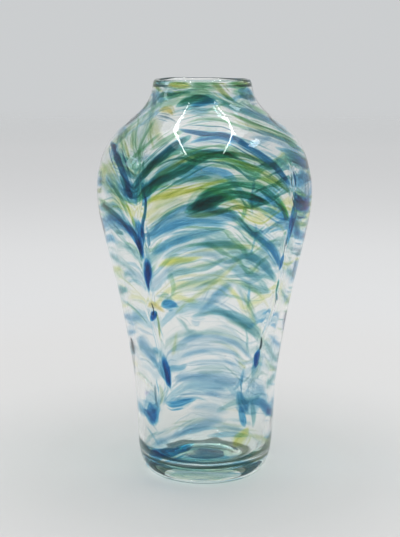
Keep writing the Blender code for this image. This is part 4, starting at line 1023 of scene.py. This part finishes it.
# the left and right flanks, seen at a slant from the front; they run on into the wraps behind
FLANKS = {
    "left_flank_pale": (
        ("pale_yellow", 0.9, ((-86, 186, 6), (-74, 188, 9), (-64, 189, 9), (-55, 184, 7), (-48, 176, 4))),
        ("pale_green", 0.8, ((-80, 180, 4), (-70, 181, 6), (-60, 179, 6), (-51, 172, 4), (-45, 165, 2))),
        ("pale_yellow", 0.8, ((-88, 125.6, 5), (-74, 128, 5.6), (-64, 130, 4.6), (-55, 128, 3))),
        ("pale_yellow", 0.5, ((-88, 103, 3), (-76, 105, 4), (-66, 107, 3))),
    ),
    "left_flank_teal": (
        ("blue_green", 0.8, ((-78, 165.4, 2.6), (-70, 166.2, 4), (-62, 167, 4.6), (-55, 169.6, 4), (-49, 167, 3), (-45, 160, 2))),
        ("green", 0.8, ((-58, 184, 1.8), (-51.6, 178.6, 2.6), (-46, 171, 2.8), (-42.6, 163.6, 2))),
        ("grey_teal", 0.9, ((-88, 136, 4), (-74, 136, 4.6), (-61, 135, 4.6), (-51, 133, 4.4), (-44, 127.6, 3))),
        ("grey_teal", 0.8, ((-60, 124.6, 3), (-53, 129, 4), (-47, 125.6, 3.4), (-42, 122.6, 2))),
        ("blue_green", 0.65, ((-90, 110.6, 4), (-78, 114.6, 5.6), (-68, 116.6, 4.6), (-58, 118.6, 2.6))),
    ),
    "left_flank_blue": (
        ("mid_blue", 0.85, ((-88, 152, 5), (-76, 155, 6.6), (-64, 160, 8), (-54, 162.6, 8.4), (-46, 159.6, 7), (-41, 152.6, 5))),
        ("cobalt", 0.6, ((-68, 158, 2), (-57, 162, 4), (-49, 160, 5), (-43.6, 155, 4), (-40, 149, 2))),
        ("deep_teal", 0.9, ((-74, 168, 2), (-64, 167, 3), (-55, 165, 4), (-48, 161, 3.4), (-43, 155, 2))),
        ("mid_blue", 0.6, ((-88, 143.6, 4.6), (-76, 146, 5), (-65, 148.6, 6), (-56, 147.6, 5))),
        ("cornflower", 0.9, ((-88, 96.6, 3), (-74, 98.4, 5), (-62, 99.8, 6), (-52, 102.6, 6), (-46, 100, 4))),
        ("sky", 0.8, ((-88, 86, 3), (-76, 88, 4), (-66, 90.6, 4), (-58, 92, 2))),
        ("slate", 0.35, ((-88, 77, 3), (-74, 79, 4), (-63, 81.6, 4))),
    ),
    "right_flank_blue": (
        ("cornflower", 1.0, ((51, 199.6, 2.6), (60, 197, 5), (72, 193, 6), (88, 188, 5))),
        ("mid_blue", 0.8, ((51, 187.6, 2.6), (56, 185.6, 4.6), (63, 186.6, 5.4), (70, 189, 3))),
        ("cobalt", 1.25, ((52, 172.6, 3), (57, 171.4, 8), (63, 169.4, 9), (69, 167, 7), (78, 165, 3))),
        ("navy", 0.8, ((52, 178, 2), (55, 174.6, 4), (60, 171.6, 4), (66, 169, 2))),
        ("mid_blue", 1.2, ((53, 163, 3), (57, 158, 6), (61, 153.6, 6), (66, 150, 4))),
        ("mid_blue", 0.85, ((52, 154.6, 2.6), (59, 151.8, 5.4), (70, 149, 4.6), (88, 146, 4))),
        ("cornflower", 0.8, ((50, 92, 2), (60, 86.6, 3.4), (70, 82, 4), (88, 78, 4))),
    ),
    "right_flank_teal": (
        ("slate", 1.0, ((70.6, 187, 2.6), (71, 180, 4.6), (70.6, 172.6, 4.6), (71, 165, 3))),
        ("blue_green", 0.9, ((52, 164.8, 2), (58, 162.6, 3.2), (66, 162.6, 2.6), (74, 163.6, 1.8))),
        ("grey_teal", 0.9, ((54, 131.6, 3), (65, 127.8, 6), (76, 124, 5.6), (90, 121, 5))),
        ("grey_teal", 0.9, ((54, 120, 2), (64, 113.6, 3.4), (75, 108.6, 4.4), (90, 104.6, 4))),
        ("grey_teal", 0.9, ((45, 90, 2), (53, 83.6, 4), (62, 76.6, 4.6), (72, 72, 4), (88, 69, 4))),
        ("blue_green", 0.5, ((56, 60.6, 2.4), (63, 58.8, 5), (74, 59.6, 3.6), (90, 56.6, 4))),
        ("slate", 0.3, ((53, 144.6, 2), (66, 141.4, 3.4), (90, 137.6, 4))),
    ),
    "right_flank_lemon": (
        ("pale_yellow", 1.1, ((53, 159.6, 2), (60, 158.2, 4.6), (69, 156.2, 3.8), (84, 153.6, 3))),
        ("lime", 0.5, ((53.4, 177.6, 1.8), (60, 175.6, 3.4), (68, 174, 2.2))),
        ("lime", 0.45, ((51, 136, 2), (57, 134, 3.2), (66, 134.6, 2))),
        ("pale_green", 0.7, ((50, 77, 2), (60, 70.6, 3.4), (72, 65.6, 3.6), (90, 62, 3))),
        ("pale_yellow", 0.6, ((44, 30, 2), (58, 25, 3), (74, 19, 3), (90, 15, 3))),
    ),
}


# ---------------------------------------------------------------------------------------------------------------------
# the sides and back: the same feathering, wound on by rule
# ---------------------------------------------------------------------------------------------------------------------
WRAPS = {
    # CAD trail: (film, crown height, drag at the comb lines, width, density)
    "side_neck_wrap": ("green", 223.5, 3.0, 3.6, 0.7),
    "side_green_wrap": ("dark_green", 195.0, 17.0, 5.4, 0.95),
    "side_blue_wrap": ("cobalt", 178.0, 18.0, 6.4, 0.85),
    "side_lemon_wrap": ("yellow", 164.5, 16.0, 4.6, 0.8),
    "side_navy_wrap": ("navy", 151.5, 17.0, 4.6, 0.8),
    "side_teal_wrap": ("blue_green", 137.0, 16.0, 6.0, 0.85),
    "side_pale_wrap": ("cornflower", 123.0, 15.0, 6.4, 0.9),
    "side_lime_wrap": ("lime", 108.0, 14.0, 3.8, 0.6),
    "side_middle_wrap": ("mid_blue", 93.0, 13.0, 5.6, 0.8),
    "side_grey_wrap": ("grey_teal", 76.0, 12.0, 5.6, 0.9),
    "side_low_wrap": ("sky", 60.0, 12.0, 6.0, 0.9),
    "side_foot_wrap": ("mid_blue", 40.0, 11.0, 6.6, 0.85),
}
NEIGHBOURS = {
    "green": ("pale_green", "blue_green"), "dark_green": ("deep_teal", "olive"), "cobalt": ("mid_blue", "deep_teal"),
    "yellow": ("pale_yellow", "lime"), "navy": ("cobalt", "deep_teal"), "blue_green": ("green", "grey_teal"),
    "cornflower": ("sky", "mid_blue"), "lime": ("pale_yellow", "pale_green"), "mid_blue": ("cornflower", "cobalt"),
    "grey_teal": ("sky", "pale_green"), "sky": ("cornflower", "grey_teal"),
}


def feather(azimuth, height, drag):
    """Height of a combed trail at an azimuth from 50 to 325: highest midway between comb lines, pulled down at each."""
    lines = [float(comb_azimuth(k, height)) for k in (1, 2, 3, 4)]
    for k in range(3):
        if azimuth <= lines[k + 1] or k == 2:
            u = (azimuth - lines[k]) / (lines[k + 1] - lines[k])
            break
    return height - drag * min(1.15, abs(2 * u - 1)) ** 2.3


def wrap_ribbons(ribbons, name, spec, seed, low=66.0, high=300.0):
    """A wound trail broken into overlapping runs, thick and thin, with two or three fainter ones beside it."""
    key, crown, drag, width, density = spec
    rng = np.random.default_rng(seed)
    at = low + rng.uniform(0, 14)
    while at < high - 16.0:
        end = min(high + 6.0, at + rng.uniform(38, 105))
        lift = rng.uniform(-2.5, 2.5)
        grow = rng.uniform(0.7, 1.35)
        steps = np.linspace(at, end, max(6, int((end - at) / 7)))
        stations = []
        for i, a in enumerate(steps):
            t = i / (len(steps) - 1)
            swell = 0.45 + 0.75 * math.sin(math.pi * t) ** 0.7
            stations.append((a, feather(a, crown + lift, drag * rng.uniform(0.94, 1.06)), width * grow * swell))
        stroke(ribbons, key, 0.72 * density * rng.uniform(0.75, 1.1), stations, 1.6 + rng.uniform(0, 0.9), seed * 31 + int(at))
        for side in (-1, 1):
            if rng.random() < 0.75:
                shift = side * width * grow * rng.uniform(0.55, 1.0)
                a0, a1 = at + rng.uniform(0, 18), end - rng.uniform(0, 18)
                if a1 - a0 < 16:
                    continue
                near = NEIGHBOURS[key][int(rng.integers(0, 2))]
                steps2 = np.linspace(a0, a1, max(5, int((a1 - a0) / 8)))
                ribbons.ribbon(
                    near, rng.uniform(0.45, 0.9),
                    [(a, feather(a, crown + lift + shift, drag), 1.2 + width * 0.42 * math.sin(math.pi * (0.1 + 0.8 * i / (len(steps2) - 1)))) for i, a in enumerate(steps2)],
                    1.55 + rng.uniform(0, 1.0), 0.3, seed * 37 + int(a0) + side,
                )
        at = end - rng.uniform(2, 16)


def comb_drips(ribbons, k, key_list, seed):
    """Colour dragged down along a comb line at the back, as broken drips."""
    rng = np.random.default_rng(seed)
    for i, (top, bottom) in enumerate(((176, 150), (146, 121), (108, 92), (84, 62), (50, 36))):
        count = 5
        stations = []
        for j in range(count):
            h = top + (bottom - top) * j / (count - 1)
            stations.append((float(comb_azimuth(k, h)) + rng.uniform(-0.8, 0.8), h, 1.0 + rng.uniform(1.4, 2.8) * math.sin(math.pi * (0.12 + 0.76 * j / (count - 1)))))
        ribbons.ribbon(key_list[i % len(key_list)], rng.uniform(0.35, 0.6), stations, 1.8, 0.4, seed + i)


def piece_for(name, ribbons, node=None):
    obj = ribbons.build()
    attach(obj, "root")
    if node:
        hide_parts(node)
    return obj


counter = 0
for group, replace in ((TRAILS, True), (FLANKS, False)):
    for name, strokes in group.items():
        ribbons = Ribbons(name + "_glass")
        for i, (key, density, stations) in enumerate(strokes):
            counter += 1
            deep = 1.45 if key in ("cusp_blue", "ink", "navy") else 1.0
            stroke(ribbons, key, density * deep, stations, 1.6 + 0.18 * ((counter * 3) % 6), counter, fine="drip" not in name)
        piece_for(name, ribbons, name if replace else None)

for i, (name, spec) in enumerate(WRAPS.items()):
    ribbons = Ribbons(name + "_glass")
    wrap_ribbons(ribbons, name, spec, 400 + i, low=66.0 if i else 92.0, high=276.0 if spec[1] > 180 else 270.0)
    piece_for(name, ribbons, name)

# ---------------------------------------------------------------------------------------------------------------------
# fine streaks over the front, following the arches
# ---------------------------------------------------------------------------------------------------------------------
ARCH_HEIGHTS = (20.0, 40.0, 70.0, 95.0, 125.0, 160.0, 200.0, 228.0)
ARCH_DROP_LEFT = (10.0, 10.0, 6.0, 12.0, 17.0, 20.0, 26.0, 8.0)
ARCH_DROP_RIGHT = (8.0, 8.0, 14.0, 20.0, 26.0, 30.0, 20.0, 9.0)
BANDS = (
    (20, 60, ("sky", "mid_blue", "cornflower", "grey_teal", "pale_yellow")),
    (60, 100, ("sky", "cornflower", "grey_teal", "pale_yellow", "pale_green")),
    (100, 140, ("grey_teal", "pale_yellow", "sky", "blue_green", "pale_green")),
    (140, 168, ("mid_blue", "sky", "pale_green", "pale_yellow", "blue_green")),
    (168, 200, ("green", "pale_green", "olive", "blue_green", "pale_yellow")),
    (200, 236, ("green", "pale_green", "blue_green", "mid_blue", "sky", "olive")),
)


def arch_height(azimuth, crown):
    left = np.interp(crown, ARCH_HEIGHTS, ARCH_DROP_LEFT)
    right = np.interp(crown, ARCH_HEIGHTS, ARCH_DROP_RIGHT)
    top = 4.0
    if azimuth < top:
        return crown - left * ((top - azimuth) / 41.0) ** 2
    return crown - right * ((azimuth - top) / 46.0) ** 2.2


def field(name, low, high, count, seed):
    ribbons = Ribbons(name + "_glass")
    rng = np.random.default_rng(seed)
    for i in range(count):
        crown = rng.uniform(low, high)
        colours = next(c for a, b, c in BANDS if a <= crown < b)
        start = rng.uniform(-36, 30)
        end = min(50.0, start + rng.uniform(16, 48))
        steps = np.linspace(start, end, 7)
        soft = 0.75 if crown > 152 else 0.35
        width = rng.uniform(0.6, 2.4) if rng.random() < soft else rng.uniform(3.0, 6.5)
        tilt = rng.uniform(-0.05, 0.05)
        stations = [
            (float(a), float(arch_height(a, crown) + tilt * (a - start)), float(0.5 + width * math.sin(math.pi * (0.1 + 0.8 * j / 6))))
            for j, a in enumerate(steps)
        ]
        ribbons.ribbon(colours[int(rng.integers(0, len(colours)))], rng.uniform(0.35, 0.8), stations, 1.6 + rng.uniform(0, 0.9), 0.22, seed * 7 + i)
    piece_for(name, ribbons)


field("front_streaks_high", 196.0, 234.0, 26, 901)
field("front_streaks_upper", 150.0, 200.0, 20, 902)
field("front_streaks_middle", 100.0, 152.0, 14, 903)
field("front_streaks_low", 30.0, 100.0, 9, 904)


def flank_field(name, low, high, start, end, bend, count, seed):
    ribbons = Ribbons(name + "_glass")
    rng = np.random.default_rng(seed)
    for i in range(count):
        crown = rng.uniform(low, high)
        colours = next(c for a, b, c in BANDS if a <= crown < b)
        a0 = rng.uniform(start, end - 16)
        a1 = min(end, a0 + rng.uniform(14, 38))
        width = rng.uniform(0.6, 2.6)
        stations = []
        for j, a in enumerate(np.linspace(a0, a1, 6)):
            u = (a - start) / (end - start)
            stations.append((float(a), float(np.clip(crown - bend(u, crown), 8, 236)), float(0.5 + width * math.sin(math.pi * (0.1 + 0.8 * j / 5)))))
        ribbons.ribbon(colours[int(rng.integers(0, len(colours)))], rng.uniform(0.4, 0.9), stations, 1.6 + rng.uniform(0, 0.9), 0.22, seed * 7 + i)
    piece_for(name, ribbons)


flank_field("left_streaks_high", 160.0, 230.0, -92, -40, lambda u, c: 26.0 * u**2.6 + (-9.0 * u if c > 200 else -4.0 * u), 34, 911)
flank_field("left_streaks_low", 30.0, 160.0, -92, -42, lambda u, c: -9.0 * u + 17.0 * u**3, 26, 912)
flank_field("right_streaks_high", 150.0, 230.0, 54, 100, lambda u, c: (15.0 if c > 190 else 5.0) * u, 36, 913)
flank_field("right_streaks_low", 24.0, 150.0, 54, 100, lambda u, c: 9.0 * u, 24, 914)


def neck_field(name, start, end, count, seed):
    ribbons = Ribbons(name + "_glass")
    rng = np.random.default_rng(seed)
    for i in range(count):
        height = rng.uniform(213, 236)
        a0 = rng.uniform(start, end - 30)
        a1 = a0 + rng.uniform(30, 80)
        slant = rng.uniform(-7, 7)
        key = ("green", "blue_green", "mid_blue", "deep_teal", "olive", "pale_green", "lime", "sky")[int(rng.integers(0, 8))]
        stations = [
            (float(a), float(np.clip(height + slant * (j / 6 - 0.5) + 1.2 * math.sin(j * 1.1 + i), 206, 237)), float(0.6 + rng.uniform(2.0, 3.6) * math.sin(math.pi * (0.12 + 0.76 * j / 6))))
            for j, a in enumerate(np.linspace(a0, a1, 7))
        ]
        stroke(ribbons, key, rng.uniform(0.7, 1.1), stations, 1.6 + rng.uniform(0, 0.9), seed * 7 + i, wide=1.0)
    piece_for(name, ribbons)


neck_field("neck_back_trails", 95.0, 275.0, 12, 921)

# trails gathered in under the foot, flat grey-green films low in the foot that are partly painted shade, and the swirl
# in the floor of the vase
foot = Ribbons("foot_ring_trails_glass")
rng = np.random.default_rng(61)
for i in range(16):
    start = rng.uniform(0, 360)
    span = rng.uniform(35, 100)
    height = rng.uniform(8.0, 18.0)
    tilt = rng.uniform(-5, 5)
    key = ("grey_teal", "pale_green", "slate", "blue_green", "sky", "green", "mid_blue")[int(rng.integers(0, 7))]
    foot.ribbon(key, rng.uniform(0.25, 0.55), [(start + span * j / 5, float(np.clip(height + tilt * (j / 5 - 0.5), 3.4, 20)), 1.2 + rng.uniform(1.5, 4.0) * math.sin(math.pi * (0.1 + 0.16 * j))) for j in range(6)], 1.6 + rng.uniform(0, 0.9), 0.24, 6100 + i)
# painted shade, in part: the flat grey-green films below, low in the foot, are the grey-green of the thick base, and
# are also made dark enough to stand in for the shade where the foot rests on the floor
for i in range(7):
    turn = np.radians(np.linspace(-70 + 51 * i, 30 + 51 * i, 9))
    foot.flat(("grey_teal", "pale_green", "olive", "pale_green", "grey_teal", "slate", "pale_green")[i], (0.55, 0.6, 0.3, 0.55, 0.5, 0.3, 0.6)[i], [((28.5 + 0.8 * math.sin(4 * a)) * math.sin(a), -(28.5 + 0.8 * math.sin(4 * a)) * math.cos(a), 2.0 + 8.0 * math.sin(math.pi * (0.1 + 0.1 * j))) for j, a in enumerate(turn)], 1.5 + 0.3 * (i % 4), 0.42, 70 + i)
for i, (y, reach, key) in enumerate(((-19, 18, "pale_green"), (-7, 25, "grey_teal"), (6, 25, "pale_green"), (18, 18, "pale_green"))):
    foot.flat(key, 0.6, [(-reach, y + 1.5, 6), (-0.4 * reach, y, 13), (0.3 * reach, y - 1, 13), (reach, y + 1, 6)], 3.1, 0.2 + 0.06 * i, 90 + i)
for i, (radius, start, end) in enumerate(((33.0, -50, 24), (31.0, -10, 62), (29.4, -76, -22))):
    turn = np.radians(np.linspace(start, end, 7))
    foot.flat(("slate", "blue_green", "slate")[i], 0.9, [(radius * math.sin(a), -radius * math.cos(a), 0.6 + 1.1 * math.sin(math.pi * j / 6)) for j, a in enumerate(turn)], 3.0, 0.3, 80 + i)
piece_for("foot_trails_and_painted_shade", foot)

swirl = Ribbons("floor_swirl_glass")
swirl.flat("cobalt", 0.95, ((-6, 2, 3), (-2, 6, 6), (4, 7, 8), (9, 3, 6), (12, -2, 2)), 4.45, 0.5, 1)
swirl.flat("cusp_blue", 0.8, ((-3, 3, 2), (2, 5, 4), (7, 3, 2)), 4.45, 0.3, 2)
swirl.flat("mid_blue", 1.0, ((10, -8, 2), (15, -14, 4), (22, -17, 3), (27, -16, 2)), 4.45, 0.4, 3)
swirl.flat("cobalt", 0.9, ((-30, -4, 3), (-26, 4, 6), (-19, 9, 5), (-12, 11, 2)), 4.45, 0.5, 4)
for i in range(7):
    radius = 9.0 + 3.2 * i
    start = rng.uniform(0, TAU)
    span = rng.uniform(1.4, 3.4)
    key = ("grey_teal", "slate", "pale_green", "green", "sky", "blue_green")[int(rng.integers(0, 6))]
    swirl.flat(key, rng.uniform(0.3, 0.55), [((radius + 1.6 * math.sin(3 * t)) * math.sin(start + span * t), -(radius + 1.6 * math.sin(3 * t)) * math.cos(start + span * t), 0.8 + rng.uniform(1.5, 3.5) * math.sin(math.pi * (0.1 + 0.8 * t))) for t in np.linspace(0, 1, 7)], 4.45, 0.36, 10 + i)
for i, (y, reach, key) in enumerate(((-25, 17, "pale_green"), (-14, 27, "grey_teal"), (-2, 31, "pale_green"), (10, 29, "pale_green"), (22, 20, "grey_teal"))):
    swirl.flat(key, 0.42, [(-reach, y + 2, 7), (-0.4 * reach, y, 14), (0.3 * reach, y - 1, 14), (reach, y + 1, 7)], 4.45, 0.16 + 0.03 * i, 40 + i)
for i, (radius, start, end, key) in enumerate(((30.5, -62, 30, "slate"), (27.6, -30, 48, "slate"), (32.6, 10, 70, "blue_green"), (24.0, -70, -20, "olive"))):
    turn = np.radians(np.linspace(start, end, 7))
    swirl.flat(key, 0.8, [(radius * math.sin(a), -radius * math.cos(a), 0.7 + 1.5 * math.sin(math.pi * j / 6)) for j, a in enumerate(turn)], 4.45, 0.36, 50 + i)
piece_for("floor_swirl", swirl)

back = Ribbons("back_comb_drips_glass")
comb_drips(back, 2, ("navy", "cobalt", "cusp_blue", "blue_green"), 811)
comb_drips(back, 3, ("cusp_blue", "navy", "mid_blue", "cobalt"), 823)
piece_for("back_comb_drips", back)


# ---------------------------------------------------------------------------------------------------------------------
# seeds: the small bubbles caught in the glass
# ---------------------------------------------------------------------------------------------------------------------
def bubble_material():
    m, nt = new_material("seed_bubble")
    out = add(nt, "ShaderNodeOutputMaterial")
    shader = add(nt, "ShaderNodeBsdfPrincipled")
    shader.inputs["Base Color"].default_value = (1, 1, 1, 1)
    shader.inputs["Roughness"].default_value = 0.02
    shader.inputs["IOR"].default_value = 0.6667
    shader.inputs["Transmission Weight"].default_value = 1.0
    nt.links.new(shader.outputs[0], out.inputs["Surface"])
    return m


def seeds():
    places = [(-22.5, 187.6, 0.55), (-15.5, 187.8, 0.5), (-1.5, 192.8, 0.45), (-0.8, 189.0, 0.4), (-1.6, 184.2, 0.45), (1.8, 182.4, 0.35), (10.5, 199.8, 0.5), (-4.0, 172.6, 0.6),
              (-3.0, 200.0, 0.35), (14.0, 187.0, 0.3), (31.0, 178.0, 0.35), (-12.0, 176.0, 0.3), (24.0, 141.0, 0.35), (-50.0, 187.0, 0.3), (8.0, 96.0, 0.3)]
    rng = np.random.default_rng(77)
    for _ in range(34):
        places.append((float(rng.uniform(60, 318)), float(rng.uniform(24, 205)), float(rng.uniform(0.2, 0.5))))
    bm = bmesh.new()
    for az, height, radius in places:
        centre = spot(az, float(SKIN.along(height)), 1.5 + float(rng.uniform(0, 1.4)))
        made = bmesh.ops.create_icosphere(bm, subdivisions=2, radius=radius * MM)
        stretch = 1.0 + float(rng.uniform(0, 0.5))
        for v in made["verts"]:
            v.co.z *= stretch
            v.co += Vector(centre)
    mesh = bpy.data.meshes.new("seed_bubbles")
    for f in bm.faces:
        f.smooth = True
    bm.to_mesh(mesh)
    bm.free()
    mesh.materials.append(bubble_material())
    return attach(link(bpy.data.objects.new("seed_bubbles", mesh)), "root")


seeds()


# ---------------------------------------------------------------------------------------------------------------------
# the punty's scar in the hollow of the foot
# ---------------------------------------------------------------------------------------------------------------------
def scar_material():
    m, nt = new_material("pontil_scar_ground")
    out = add(nt, "ShaderNodeOutputMaterial")
    shader = add(nt, "ShaderNodeBsdfPrincipled")
    where = add(nt, "ShaderNodeTexCoord").outputs["Object"]
    noise = add(nt, "ShaderNodeTexNoise")
    noise.inputs["Scale"].default_value = 130.0
    noise.inputs["Detail"].default_value = 4.0
    noise.inputs["Distortion"].default_value = 1.2
    nt.links.new(where, noise.inputs["Vector"])
    ramp = add(nt, "ShaderNodeValToRGB")
    ramp.color_ramp.elements[0].position = 0.42
    ramp.color_ramp.elements[0].color = (0.10, 0.30, 0.52, 1)
    ramp.color_ramp.elements[1].position = 0.60
    ramp.color_ramp.elements[1].color = (0.62, 0.72, 0.72, 1)
    nt.links.new(noise.outputs["Fac"], ramp.inputs["Fac"])
    nt.links.new(ramp.outputs["Color"], shader.inputs["Base Color"])
    shader.inputs["Roughness"].default_value = 0.12
    shader.inputs["IOR"].default_value = 1.5
    shader.inputs["Transmission Weight"].default_value = 0.9
    lift = add(nt, "ShaderNodeBump")
    lift.inputs["Strength"].default_value = 0.5
    lift.inputs["Distance"].default_value = 0.0002
    fine = add(nt, "ShaderNodeTexNoise")
    fine.inputs["Scale"].default_value = 900.0
    nt.links.new(where, fine.inputs["Vector"])
    nt.links.new(fine.outputs["Fac"], lift.inputs["Height"])
    nt.links.new(lift.outputs["Normal"], shader.inputs["Normal"])
    nt.links.new(shader.outputs[0], out.inputs["Surface"])
    return m


def scar():
    low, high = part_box("pontil_scar")
    radius = (high.x - low.x) / 2 / MM
    top, bottom = high.z / MM, low.z / MM
    rng = np.random.default_rng(31)
    phase = rng.uniform(0, TAU, 5)
    segments = 96
    a = np.arange(segments) / segments * TAU
    uneven = 1 - 0.035 * (1 + np.sin(2 * a + phase[0])) / 2 - 0.03 * (1 + np.sin(5 * a + phase[1])) / 2
    rings = [(0.25, top), (0.6, top), (0.9, top - 0.02), (0.97, top - 0.12), (1.0, top - 0.4), (0.98, (top + bottom) / 2 - 0.1), (0.93, bottom + 0.12), (0.86, bottom), (0.6, bottom + 0.1), (0.3, bottom + 0.16)]
    verts, faces = [], []
    for share, z in rings:
        for i in range(segments):
            r = radius * share * (uneven[i] if share > 0.5 else 1.0)
            verts.append((r * math.sin(a[i]) * MM + 0.5 * MM, -r * math.cos(a[i]) * MM, z * MM))
    for i in range(len(rings) - 1):
        for j in range(segments):
            p, q = i * segments + j, i * segments + (j + 1) % segments
            faces.append((p, p + segments, q + segments, q))
    faces.append(tuple(range(segments)))
    faces.append(tuple((len(rings) - 1) * segments + j for j in reversed(range(segments))))
    obj = mesh_object("pontil_pad", verts, faces, [scar_material()])
    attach(obj, "root")
    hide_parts("pontil_scar")


scar()


# ---------------------------------------------------------------------------------------------------------------------
# floor, light and camera
# ---------------------------------------------------------------------------------------------------------------------
WORLD_COLOUR = (0.60, 0.615, 0.625)


def floor():
    m, nt = new_material("floor_with_painted_shade")
    out = add(nt, "ShaderNodeOutputMaterial")
    where = add(nt, "ShaderNodeTexCoord").outputs["Object"]
    size = add(nt, "ShaderNodeVectorMath", operation="LENGTH")
    nt.links.new(where, size.inputs[0])
    ramp = add(nt, "ShaderNodeValToRGB")
    far = 6.0
    # painted shade: the floor's colour runs from darker at the vase to lighter further out, standing in for the fall of
    # light over the floor and the shade round the vase; within 0.4 m of the vase it is also painted a little warmer,
    # against the green of the glass's shadow
    painted_shade_stops = ((0.0, 0.59), (0.10, 0.60), (0.20, 0.675), (0.32, 0.70), (0.48, 0.735), (0.78, 0.795), (1.25, 0.835), (2.2, 0.93))
    ramp.color_ramp.elements[0].position = 0.0
    ramp.color_ramp.elements[1].position = 1.0
    while len(ramp.color_ramp.elements) < len(painted_shade_stops):
        ramp.color_ramp.elements.new(0.5)
    for e, (d, v) in zip(ramp.color_ramp.elements, painted_shade_stops):
        e.position = (d / far) ** 0.5
        e.color = (v, v * (0.978 if d < 0.4 else 0.99), v * (0.962 if d < 0.4 else 0.985), 1)
    share = maths(nt, "POWER", maths(nt, "DIVIDE", size.outputs["Value"], far), 0.5, clamp=True)
    nt.links.new(share, ramp.inputs["Fac"])
    shader = add(nt, "ShaderNodeBsdfPrincipled")
    nt.links.new(ramp.outputs["Color"], shader.inputs["Base Color"])
    shader.inputs["Roughness"].default_value = 0.75
    shader.inputs["Specular IOR Level"].default_value = 0.2
    gone = add(nt, "ShaderNodeBsdfTransparent")
    mix = add(nt, "ShaderNodeMixShader")
    nt.links.new(smoothstep(nt, size.outputs["Value"], 1.7, 4.2), mix.inputs["Fac"])
    nt.links.new(shader.outputs[0], mix.inputs[1])
    nt.links.new(gone.outputs[0], mix.inputs[2])
    nt.links.new(mix.outputs[0], out.inputs["Surface"])
    bm = bmesh.new()
    bmesh.ops.create_circle(bm, cap_ends=True, segments=128, radius=6.0)
    mesh = bpy.data.meshes.new("floor")
    bm.to_mesh(mesh)
    bm.free()
    mesh.materials.append(m)
    obj = link(bpy.data.objects.new("floor", mesh))


floor()


def area(name, place, target, width, height, watts, colour=(1, 1, 1), camera=False):
    data = bpy.data.lights.new(name, "AREA")
    data.shape = "RECTANGLE"
    data.size, data.size_y = width, height
    data.energy = watts
    data.color = colour
    obj = link(bpy.data.objects.new(name, data))
    obj.location = place
    obj.rotation_euler = (Vector(target) - Vector(place)).to_track_quat("-Z", "Y").to_euler()
    obj.visible_camera = camera
    return obj


def strip(name, corners, width, radiance):
    """A run of narrow area lights along a bent line near the roof of the tent."""
    height = 0.82
    for i, (a, b) in enumerate(zip(corners[:-1], corners[1:])):
        length = math.hypot(b[0] - a[0], b[1] - a[1])
        data = bpy.data.lights.new(name + str(i), "AREA")
        data.shape = "RECTANGLE"
        data.size, data.size_y = length + width * 0.4, width
        data.energy = radiance * math.pi * data.size * data.size_y
        obj = link(bpy.data.objects.new(name + str(i), data))
        obj.location = ((a[0] + b[0]) / 2, (a[1] + b[1]) / 2, height)
        obj.rotation_euler = (0, 0, math.atan2(b[1] - a[1], b[0] - a[0]))
        obj.visible_camera = False


def lights():
    world = bpy.data.worlds.new("studio")
    world.use_nodes = True
    world.node_tree.nodes["Background"].inputs["Color"].default_value = (*WORLD_COLOUR, 1)
    world.node_tree.nodes["Background"].inputs["Strength"].default_value = 1.0
    bpy.context.scene.world = world
    area("overhead", (0.0, 0.1, 1.5), (0, 0, 0.1), 1.3, 1.3, 9.0)
    # two strip lights near the roof of the tent, then a soft panel and a small lamp
    strip("strip_left", ((-0.235, -0.46), (-0.205, 0.24)), 0.013, 24.0)
    strip("strip_right", ((0.250, -0.46), (0.215, 0.24)), 0.013, 24.0)
    area("panel_right", (0.48, 0.03, 0.82), (0.48, 0.03, 0.0), 0.10, 0.26, 0.6, (0.82, 0.92, 1.0))
    area("panel_left", (-1.50, 0.08, 0.80), (0.0, 0.0, 0.2), 0.30, 0.30, 1.1, (0.82, 0.92, 1.0))


lights()


def camera():
    data = bpy.data.cameras.new("camera")
    obj = link(bpy.data.objects.new("camera", data))
    f = 1137.0
    data.sensor_fit = "VERTICAL"
    data.sensor_height = 24.0
    data.lens = f * 24.0 / 537.0
    data.clip_start, data.clip_end = 0.01, 200.0
    obj.location = (-4.0 * 0.681 / f, -0.681, 0.261)
    obj.rotation_euler = (math.radians(90.0 - 11.25), 0, 0)
    bpy.context.scene.camera = obj


camera()

scene = bpy.context.scene
scene.cycles.transparent_max_bounces = 96
scene.cycles.max_bounces = 24
scene.cycles.transmission_bounces = 20
scene.cycles.glossy_bounces = 8
scene.cycles.diffuse_bounces = 3
scene.cycles.sample_clamp_indirect = 40.0
scene.view_settings.view_transform = "Standard"
scene.view_settings.look = "None"
